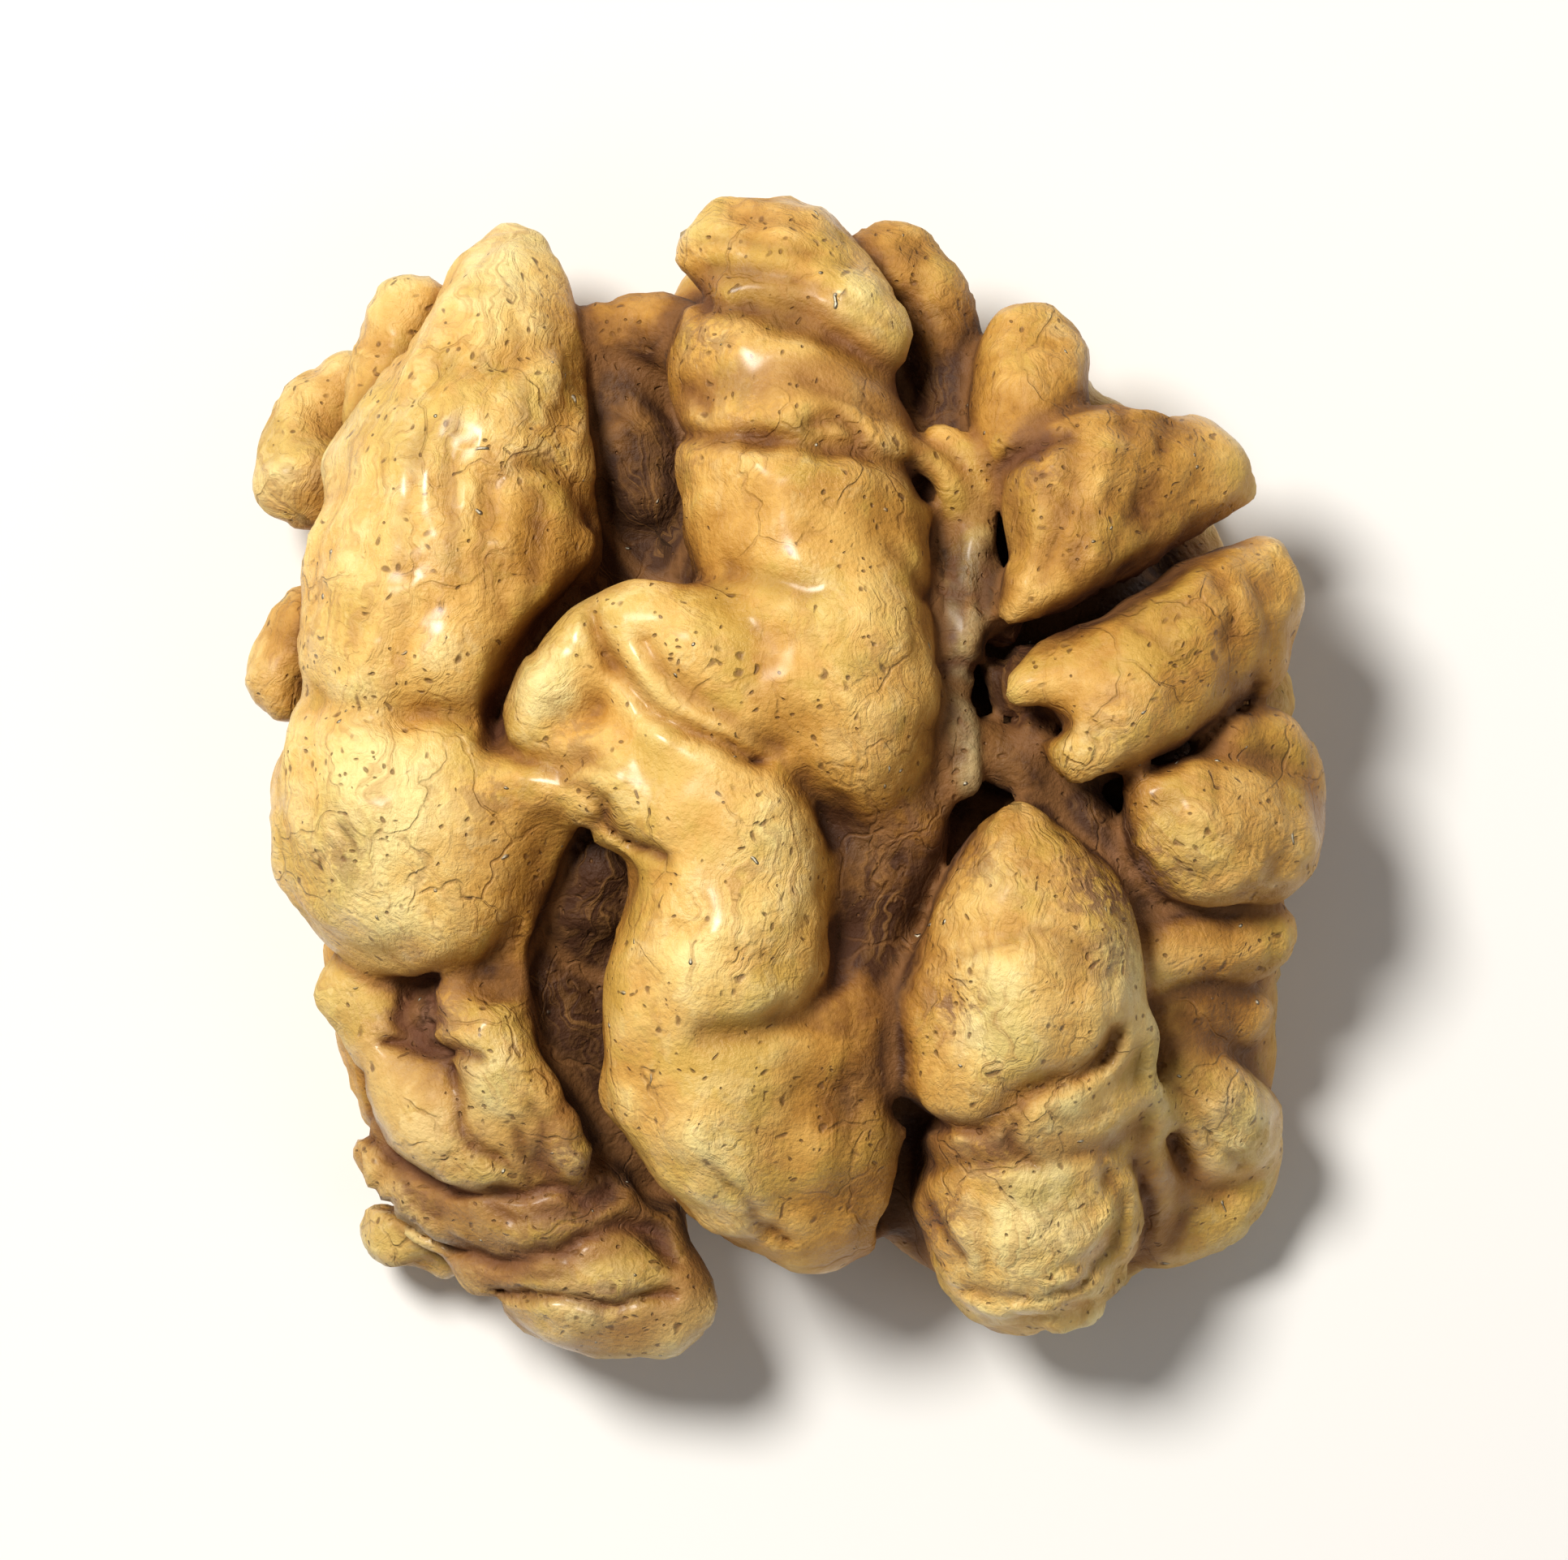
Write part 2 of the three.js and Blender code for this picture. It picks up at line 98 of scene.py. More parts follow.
CROWN_FOLDS = entries("""
leftFinger: -8 14.3 1.3 0.2 | -8.15 12.6 2.1 0 | -8.45 10.4 2.8 0 | -9.1 8 3.75 0 | -9.4 5.6 4.1 0 |
  -10.1 3.4 3.8 0.2 | -10.5 1.8 3.5 0.6 | -10.45 -1 4.05 0 | -10.2 -1.9 4 0.2
shoulder: -10.7 13 1.2 -1 | -11.2 11.6 1.35 0.6 | -11.6 10.4 1.2 1.4
leftKnobUpper: -12.6 11 1.25 1 | -13.5 9.7 1.45 0.6 | -13.75 8.3 1.35 1
leftKnobLower: -13.8 4 1.2 2.8 | -14.2 2.7 1.3 2.8
neck: -9 -0.8 2.3 1.3 | -7.5 -0.3 1.9 1.6 | -5.8 0.1 1.75 1.2 | -4.2 -0.5 1.7 0.8 |
  -2.8 -1.2 1.8 0.5
bridgeLobe: -7.1 1.6 1.3 1 | -6.5 2.7 1.7 0.6 | -5.6 3.8 1.4 0.7 | -5.4 4.2 1.05 0.9
bridge: -4.4 3.7 1.3 0.9 | -3.6 2.2 1.4 0.8 | -2.6 0.9 1.5 0.6 | -1.6 -0.6 1.7 0.5 | -1 -2 2 0.3 |
  -1.3 -3.6 2.5 0.1 | -1.75 -5.1 3.05 0 | -2.2 -6.4 2.75 0.4
tail: -2.3 -7.2 2.75 0.5 | -2.25 -8.8 2.65 0.4 | -1.5 -10.4 2.3 0.8 | -0.4 -12 1.6 1.7 |
  0.4 -13.1 0.95 2.5
bridgeShoulder: -3.4 3.8 1.3 0.8 | -2.2 3.2 1.8 0.4 | -0.8 2.2 2 0.4
columnCap: -1.3 14.5 1.75 0 | 0 13.9 2.2 -0.3 | 1.5 12.8 1.75 0 | 2.2 12.2 1.3 0.6
columnSecond: -0.6 12.2 2.35 0.3 | -0.1 11.2 3.2 0.3 | 0.4 10.3 3.15 0.5
columnThird: 0.2 8.9 3.35 0.3 | 0.45 7.4 3.5 0.1 | 0.6 6.3 3.2 0.4
columnFourth: 0.85 5 3.15 0.2 | 1 3.5 3.15 0 | 1.5 1.9 2.8 0.4 | 1.8 1.2 2.3 0.9
apron: 2.5 0.4 1.9 2.2 | 2.7 -1.8 1.9 2.8 | 2.2 -4.2 1.9 3.2 | 1.8 -6.2 1.8 3.4
tailSide: 1 -7.2 1.9 2.2 | 0.9 -9.6 2.1 1.9 | 1 -11.6 1.8 2.4 | 1.2 -12.8 1.2 3
heel: -9.8 -7.6 1.7 2.7 | -9.4 -8.8 2.3 2.1 | -8.5 -10 2.7 1.6 | -7.6 -10.9 2.4 1.9
heelKnob: -12.1 -6.1 1 2.3 | -11.3 -7.1 1.15 2.2
heelRidge: -9.2 -6.6 0.9 2.1 | -8.4 -7.7 1.05 1.4 | -7.6 -8.9 1 1.5 | -6.9 -9.8 0.75 2.2
heelBulge: -10.9 -8.4 1.1 1.9 | -10.3 -9.8 1.3 1.5
heelCurl: -6.5 -10.1 0.55 2.2 | -6 -10.8 0.6 2.3 | -6.3 -11.6 0.6 2.3
heelSecond: -10.9 -10.9 1.5 2.2 | -9.2 -12 1.9 1.7 | -7.4 -12.4 2.2 1.6 | -5.9 -12.5 1.75 2.4
heelThird: -8 -13.6 1.6 1.6 | -6.2 -14 2.2 1.4 | -4.6 -14.1 2.1 2
heelFourth: -7 -15 1.3 1.4 | -5.2 -15.2 1.5 1.6 | -3.6 -15 1.5 2
heelCrumb: -10.9 -13.2 1.1 1.1 | -9.9 -13.9 0.8 1.4
valleyFoldLeft: -7.3 -5.6 1.3 4.4 | -6.4 -7.2 1.2 4.8 | -5.6 -9 1 5.2
valleyFoldRight: -5.2 -2.6 1.2 4.2 | -5.8 -4.2 1.2 4.8
notchRidge: -6 12 1 3.4 | -4.6 12.4 0.95 3.6 | -2.8 12.5 1 3.2
notchDisc: -5 10.6 1.4 4.4 | -4.4 9.2 1.5 4.6 | -4 8 1.3 5
grooveRim: 2.9 14.5 1.1 1.6 | 4.1 13.2 1.2 2.4 | 4.7 11.2 1.2 3.2 | 4.7 9.2 1 3.8
grooveThreadLeft: 3.5 8.9 0.35 2.2 | 4.2 8.4 0.38 2.4 | 4.75 7.6 0.38 2.8 | 4.9 6.8 0.35 3.3
grooveThreadRight: 4.3 9.4 0.35 2.6 | 5.05 8.9 0.4 2.5 | 5.45 8.1 0.4 2.7 | 5.5 7 0.35 3.3
grooveFlap: 5.3 6.4 0.6 2.9 | 5.1 5 1 2.7 | 4.8 3.5 0.8 2.9 | 4.6 2.6 0.5 3.2
grooveFlapLow: 4.45 1.9 0.45 2.9 | 4.8 1 0.6 2.9 | 4.9 -0.2 0.5 3.2
grooveKnob: 5.5 0.7 0.7 3.6 | 6.6 0.1 0.7 3.4
grooveFloor: 6.1 4.4 0.8 3.5 | 6.6 2.8 1 3.2 | 7.2 1.2 0.9 3.2
rightKnob: 7 11.5 1.75 0.9 | 6.8 10.3 1.6 0.9 | 6.7 9.3 1.2 1.3
rightEar: 11 8.6 1.35 0.6 | 9.4 8.6 1.7 0.1 | 8.2 8.2 1.7 0 | 7.9 6.8 1.7 0.3 | 7.4 5.2 1.2 0.9 |
  6.9 3.9 0.8 1.6
rightEarMiddle: 11.8 7.9 1.4 0.6 | 10.8 6.8 1.55 0.7 | 9.3 5.5 1.35 1 | 7.9 4.5 1 1.5
rightPaw: 12.7 5 1.9 0.5 | 11.6 4.3 2.2 0.1 | 10.4 3.2 2.25 0 | 9.3 1.9 1.95 0.2 | 8.6 0.9 1.4 0.7
rightPawSide: 12.9 3 1.3 0.9 | 11.4 1.9 1.3 1 | 10 0.9 1 1.2
rightPawToe: 6.95 2.3 0.75 1.4 | 8 2.7 1 1 | 9 3.1 1.3 0.6
rightBulb: 10.5 -0.7 1.3 0.9 | 11.7 -1.6 2.15 0.3 | 13.2 -1.8 2.05 0.4
rightBrow: 12.2 1 1.2 1.3 | 13.6 0.4 1.3 1.2 | 14.1 -1.2 1.3 1
rightShelf: 10.3 -5.3 1.1 2.5 | 11.3 -4.9 1.3 2.3 | 12.7 -4.8 1.5 2.1 | 13.3 -4.7 1.2 2.2
rightShelfLow: 10.6 -7 1.2 2.7 | 11.5 -6.8 1.4 2.7 | 12.6 -6.9 1.35 2.7
rightThumb: 11 -8.3 1.2 2.2 | 12 -9.5 1.65 1.2 | 12.45 -10.9 1.7 0.5 | 12 -12.2 1.5 0.7 |
  11 -13.1 1.2 0.9
pitFold: 8.6 -1.4 0.9 3.2 | 9.6 -3 0.9 3.4 | 10.4 -4.6 0.9 3.4
bean: 6.55 -2 1 1.6 | 6.7 -3.2 2 0.9 | 6.8 -4.9 3.05 0.2 | 6.6 -6.6 3.5 0 | 6.2 -8 3.15 0.4
beanKnuckle: 6.9 -9.9 1.4 0.8 | 8 -9.6 1.45 0.7 | 8.8 -9.3 1.1 1
beanFoot: 6.8 -10.8 3.15 0.6 | 6.9 -12.1 3.4 0.4 | 7.2 -13.2 2.9 0.7
beanHem: 9.9 -10.3 0.85 1.8 | 10.3 -11.8 0.85 1.8 | 9.9 -13.5 0.9 1.9 | 8.3 -14.9 0.9 2.2 |
  6.2 -15 0.85 2.4
hemCurl: 9.1 -7.8 0.3 0.9 | 9.5 -7.1 0.3 0.9 | 10.1 -7.4 0.3 1.1 | 10.25 -8.8 0.32 1.4 |
  10.7 -10 0.3 1.7
hemCurlLow: 10.6 -11.4 0.3 1.5 | 11.1 -12.1 0.32 1.6 | 11.4 -13.1 0.3 1.9
""")

EDGE_FOLDS = entries("""
edgeLeftFinger: -8.2 12.4 4.2 1.8 | -9.4 10.4 3 2.3 | -10.5 7.4 2.3 2.7 | -10.8 4.6 2.8 2.6
edgeLeftBulb: -11 2.4 3 2.4 | -11.2 -0.4 3.1 2.7 | -10.6 -3 3.1 2.5
edgeHeel: -11.3 -5.4 3.2 1.9 | -10.4 -8.2 2.7 2.4 | -8.8 -10.8 2.1 2.5 | -6.8 -12.9 2.8 2.3 |
  -4.8 -13.3 3.4 1.9
edgeTail: -0.6 -10.6 4.6 2.2 | 0.2 -11.8 3.4 1.7 | 0.4 -12.3 2.6 1.3
edgeBean: 4.4 -11.8 3.6 2 | 6.6 -12.6 3.1 2.4 | 9.2 -11.8 2.8 2.4
edgeRightLower: 11 -10.4 2.7 2.3 | 11.6 -7.8 2.05 2.45 | 11.8 -4.6 2.8 2.4
edgeRightMiddle: 12.1 -2.2 3 2.3 | 12.2 0.8 2.6 2.4 | 11.5 3.6 2.8 2.3
edgeRightUpper: 10.5 5.6 2.8 2.2 | 9.2 7.6 1.95 2.45 | 7.4 9.8 3 2
edgeColumn: 4.4 11.2 3.6 1.9 | 2.2 12.6 3 2.1 | -0.4 13.2 3 2.1 | -2.2 12.2 3.8 1.7
edgeNotch: -6.4 10.6 4 1.8 | -4.4 10.8 4.4 1.7 | -2.6 11.2 4.2 1.8
""")

INNER_PADS = entries("""
padLeft: -5.6 8.4 3.6 2 | -7.3 4.6 3.4 2.6 | -7.7 -0.6 3.3 2.8 | -7 -5.6 3.3 2.6 |
  -5.4 -9.8 3.6 2.1
padRight: 5.4 7.8 3.6 2 | 7.4 4 3.4 2.6 | 7.9 -1 3.3 2.8 | 7.4 -5.8 3.3 2.6 | 5.9 -9.4 3.6 2.1
padBridge: -3.6 9.4 3.8 2 | 0.2 10 3.4 2.3 | 3.8 9.2 3.8 2
""")

VALLEYS = entries("""
upperLeft: -4.7 13.4 1.8 0.5 | -4.4 10.4 1.7 0.6 | -4 7.4 1.9 1 | -3.9 5.9 1.8 1.2
lowerLeft: -5.2 -2.6 1.2 0.6 | -5.6 -5 1.6 1 | -5.4 -8 1.5 1 | -4 -11.5 1.6 0.8 | -2.8 -14 1.8 0.5
middleGroove: 5.2 12.4 1.2 0.6 | 5.5 9 1.3 0.9 | 5.9 5.5 1.4 1.1 | 6.2 2.6 1.6 1.2 |
  5.4 -0.8 1.3 1 | 3.6 -4 1.2 0.9 | 3 -8 1.2 0.9 | 3 -12.4 1.4 0.6
rightPit: 9.6 -1.6 1.2 0.8 | 10.6 -4.6 1.2 0.8 | 10.6 -8 1.3 0.8
""")


def dome_height(x, y):
    share = 1 - (x / DOME_HALF_WIDTH) ** 2 - (y / DOME_HALF_LENGTH) ** 2
    return RIM_HEIGHT + DOME_RISE * np.sqrt(np.maximum(share, 0))


def crown_points(x, y, radius, depth):
    return np.stack([x, y, dome_height(x, y) - depth - radius, radius], axis=1)


# The body under the folds is an ellipsoid, and the valleys are cut down from its top.
BODY_MIDDLE = (-0.2, -0.8, 5.3)
BODY_SIZE = (24.6, 26.0, 9.6)


def valley_points(x, y, radius, depth):
    across = 2 * (x - BODY_MIDDLE[0]) / BODY_SIZE[0]
    along = 2 * (y - BODY_MIDDLE[1]) / BODY_SIZE[1]
    rise = np.sqrt(np.maximum(1 - across**2 - along**2, 0)) * BODY_SIZE[2] / 2
    return np.stack([x, y, BODY_MIDDLE[2] + rise - depth, radius], axis=1)


print(len(CROWN_FOLDS), "folds on the crown,", len(EDGE_FOLDS), "round the edge")

# %% [markdown]
# ## Spines
# A few points are enough for a fold if a smooth curve joins them. The Catmull-Rom curve goes
# through every point, so a fold is exactly where it was written. Each spine is then cut into short
# straight pieces, because the distance to a straight piece is one line of arithmetic.

# %% Smooth spines
PIECE_LENGTH = 0.55


def smooth_spine(points):
    """Close points on a Catmull-Rom curve through the given ones, ends included."""
    padded = np.vstack([2 * points[0] - points[1], points, 2 * points[-1] - points[-2]])
    close = []
    for before, start, end, after in zip(padded, padded[1:], padded[2:], padded[3:]):
        count = max(1, math.ceil(np.linalg.norm((end - start)[:3]) / PIECE_LENGTH))
        t = np.linspace(0, 1, count, endpoint=False)[:, None]
        close.append(0.5 * (
            2 * start + (end - before) * t + (2 * before - 5 * start + 4 * end - after) * t**2
            + (3 * start - before - 3 * end + after) * t**3
        ))
    return np.vstack(close + [points[-1:]])


# Half sizes of the egg shape whose outward direction tells which side of a fold is its top.
EGG = np.array([DOME_HALF_WIDTH, DOME_HALF_LENGTH, 9.0])


class Fold:
    """One fold: its spine, and at each point of it the way along, the way up and the way across."""

    def __init__(self, name, points):
        spine = smooth_spine(points)
        self.name = name
        self.middle = spine[:, :3] + CENTRING_SHIFT
        self.radius = spine[:, 3]
        along = np.gradient(self.middle, axis=0)
        self.along = along / np.linalg.norm(along, axis=1, keepdims=True)
        outward = self.middle / EGG**2
        up = outward - (outward * self.along).sum(1, keepdims=True) * self.along
        self.up = up / np.linalg.norm(up, axis=1, keepdims=True)
        self.across = np.cross(self.along, self.up)
        steps = np.linalg.norm(np.diff(self.middle, axis=0), axis=1)
        self.run = np.concatenate([[0], np.cumsum(steps)])
        reach = self.radius[:, None]
        self.low = (self.middle - reach).min(0)
        self.high = (self.middle + reach).max(0)

    def nearest(self, points):
        """How far each point is from the fold, and the piece and share where it is nearest."""
        best = np.full(len(points), np.inf)
        piece = np.zeros(len(points), int)
        share = np.zeros(len(points))
        for i in range(len(self.middle) - 1):
            start = self.middle[i]
            step = self.middle[i + 1] - start
            away = points - start
            t = np.clip(away @ step / (step @ step), 0, 1)
            distance = np.linalg.norm(away - t[:, None] * step, axis=1)
            distance -= self.radius[i] + t * (self.radius[i + 1] - self.radius[i])
            nearer = distance < best
            best[nearer] = distance[nearer]
            piece[nearer] = i
            share[nearer] = t[nearer]
        return best, piece, share


pads = [Fold(name, points) for name, points in INNER_PADS]
edges = [Fold(name, points) for name, points in EDGE_FOLDS]
crown = [Fold(name, crown_points(*points.T)) for name, points in CROWN_FOLDS]
valleys = [Fold(name, valley_points(*points.T)) for name, points in VALLEYS]
print("the longest fold runs", round(max(fold.run[-1] for fold in crown), 1), "mm")

# %% [markdown]
# ## One skin over all the folds
# The kernel is one piece, so its folds have to share one skin. Joining meshes with booleans leaves
# knife-sharp corners and slivers. A distance field doesn't: each cell of a fine grid holds how far
# it is from the surface, two folds are joined by taking the smaller distance, and a soft version of
# "smaller" rounds the corner between them. The field becomes a mesh only at the end.

# %% A grid of distances
VOXEL = 0.24
MARGIN = 1.6
FAR = 1.5

grid_low = cad_low - MARGIN
grid_shape = np.ceil((cad_high + MARGIN - grid_low) / VOXEL).astype(int)
field = np.full(grid_shape, FAR)
print("the grid has", "x".join(str(n) for n in grid_shape), "cells")


def cells_around(low, high):
    """The part of the grid that holds a box with a margin, and the middles of its cells."""
    first = np.maximum(np.floor((low - MARGIN - grid_low) / VOXEL).astype(int), 0)
    last = np.minimum(np.ceil((high + MARGIN - grid_low) / VOXEL).astype(int) + 1, grid_shape)
    part = tuple(slice(a, b) for a, b in zip(first, last))
    axes = [grid_low[k] + VOXEL * np.arange(first[k], last[k]) for k in range(3)]
    return part, np.stack(np.meshgrid(*axes, indexing="ij"), axis=-1)


def softly_nearer(a, b, softness):
    """The smaller of two distances, with the corner between them rounded."""
    close = np.maximum(softness - np.abs(a - b), 0) / softness
    return np.minimum(a, b) - close**2 * softness / 4


def ellipsoid_distance(points, centre, size):
    half = np.array(size) / 2
    away = points - centre
    stretched = np.linalg.norm(away / half, axis=-1)
    slope = np.linalg.norm(away / half**2, axis=-1)
    return stretched * (stretched - 1) / np.maximum(slope, 1e-6)


# %% [markdown]
# The folds are added from the inside out: the body and the smooth pads of the inner face, then the
# hollow is taken out of them, then the folds of the edge and the crown. A fold that grows out of
# another one, such as the neck between two lobes, is joined softly. Most are only pressed together,
# and keep a narrow crease between them.

# %% Build the distance field
BODY_CENTRE = np.array(BODY_MIDDLE) + CENTRING_SHIFT
HOLLOW_CENTRE = np.array([0.0, -1.8, 0.4]) + CENTRING_SHIFT
HOLLOW_SIZE = (11.6, 20.0, 10.8)

# How widely the corner between two folds is rounded, in millimetres.
PRESSED = 0.35
VALLEY_ROUNDING = 0.6
HOLLOW_ROUNDING = 1.0
GROWN_TOGETHER = {
    "neck": 1.3, "bridgeLobe": 0.5, "bridge": 0.9, "tail": 0.9, "tailSide": 1.5,
    "bridgeShoulder": 1.3, "columnFourth": 0.6, "apron": 0.8, "edgeTail": 1.0, "rightPawToe": 0.6,
    "rightPawSide": 0.9, "rightEarMiddle": 1.6, "heelRidge": 0.6, "heelBulge": 1.2, "hemCurl": 0.8,
    "beanKnuckle": 0.6, "padBridge": 1.5, "padLeft": 1.5, "padRight": 1.5,
}


def join(distances, part, rounding):
    field[part] = softly_nearer(field[part], distances, rounding)


def cut(distances, part, rounding):
    field[part] = -softly_nearer(-field[part], distances, rounding)


def distances_to(fold):
    """How far the cells round a fold are from it, and which part of the grid they are."""
    part, middles = cells_around(fold.low, fold.high)
    distances, _, _ = fold.nearest(middles.reshape(-1, 3))
    return distances.reshape(middles.shape[:3]), part


part, middles = cells_around(cad_low, cad_high)
field[part] = np.minimum(field[part], ellipsoid_distance(middles, BODY_CENTRE, BODY_SIZE))
for fold in valleys:
    cut(*distances_to(fold), VALLEY_ROUNDING)
for fold in pads:
    join(*distances_to(fold), GROWN_TOGETHER[fold.name])
cut(ellipsoid_distance(middles, HOLLOW_CENTRE, HOLLOW_SIZE), part, HOLLOW_ROUNDING)
for fold in edges + crown:
    join(*distances_to(fold), GROWN_TOGETHER.get(fold.name, PRESSED))
volume = (field < 0).sum() * VOXEL**3 / 1000
print("the field holds", round(volume, 2), "cubic centimetres of kernel")

# %% [markdown]
# ## Small lumps
# Nothing that grew is as even as a tube. Smooth noise, added to the distances, swells and pinches
# the folds by a fraction of a millimetre. Numbers on the corners of a lattice come from a hash, so
# the lumps are the same each time.

# %% Lumps
HASH_STEPS = np.array([73856093, 19349663, 83492791], np.uint64)
HASH_MIX = 0x9E3779B97F4A7C15


def corner_numbers(corner, seed):
    """A number from -1 to 1 for each lattice corner."""
    h = (corner.astype(np.uint64) * HASH_STEPS).sum(-1) + np.uint64(seed * HASH_MIX % 2**64)
    for shift in (33, 29, 32):
        h = (h ^ (h >> np.uint64(shift))) * np.uint64(HASH_MIX)
    return (h >> np.uint64(40)).astype(float) / 2**23 - 1


def corner_weights(share):
    """Each corner of a cell, and how much it counts for points at these shares of the cell."""
    for corner in itertools.product((0, 1), repeat=3):
        yield np.array(corner), np.prod(np.where(corner, share, 1 - share), axis=-1)


def lumps(points, seed):
    """Smooth noise from -1 to 1 with features one unit across."""
    cell = np.floor(points)
    inside = points - cell
    ease = inside**3 * (inside * (inside * 6 - 15) + 10)
    cell = cell.astype(np.int64)
    return sum(
        weight * corner_numbers(cell + corner, seed) for corner, weight in corner_weights(ease)
    )


# (height, width, seed) of each layer of lumps
LUMP_LAYERS = [(0.22, 3.1, 1), (0.13, 1.3, 2), (0.05, 0.7, 9)]
LUMPS_REACH = 1.2

near = np.abs(field) < LUMPS_REACH
where_near = grid_low + VOXEL * np.argwhere(near)
for height, width, seed in LUMP_LAYERS:
    field[near] += height * lumps(where_near / width, seed)
print(len(where_near), "cells lie near the skin")
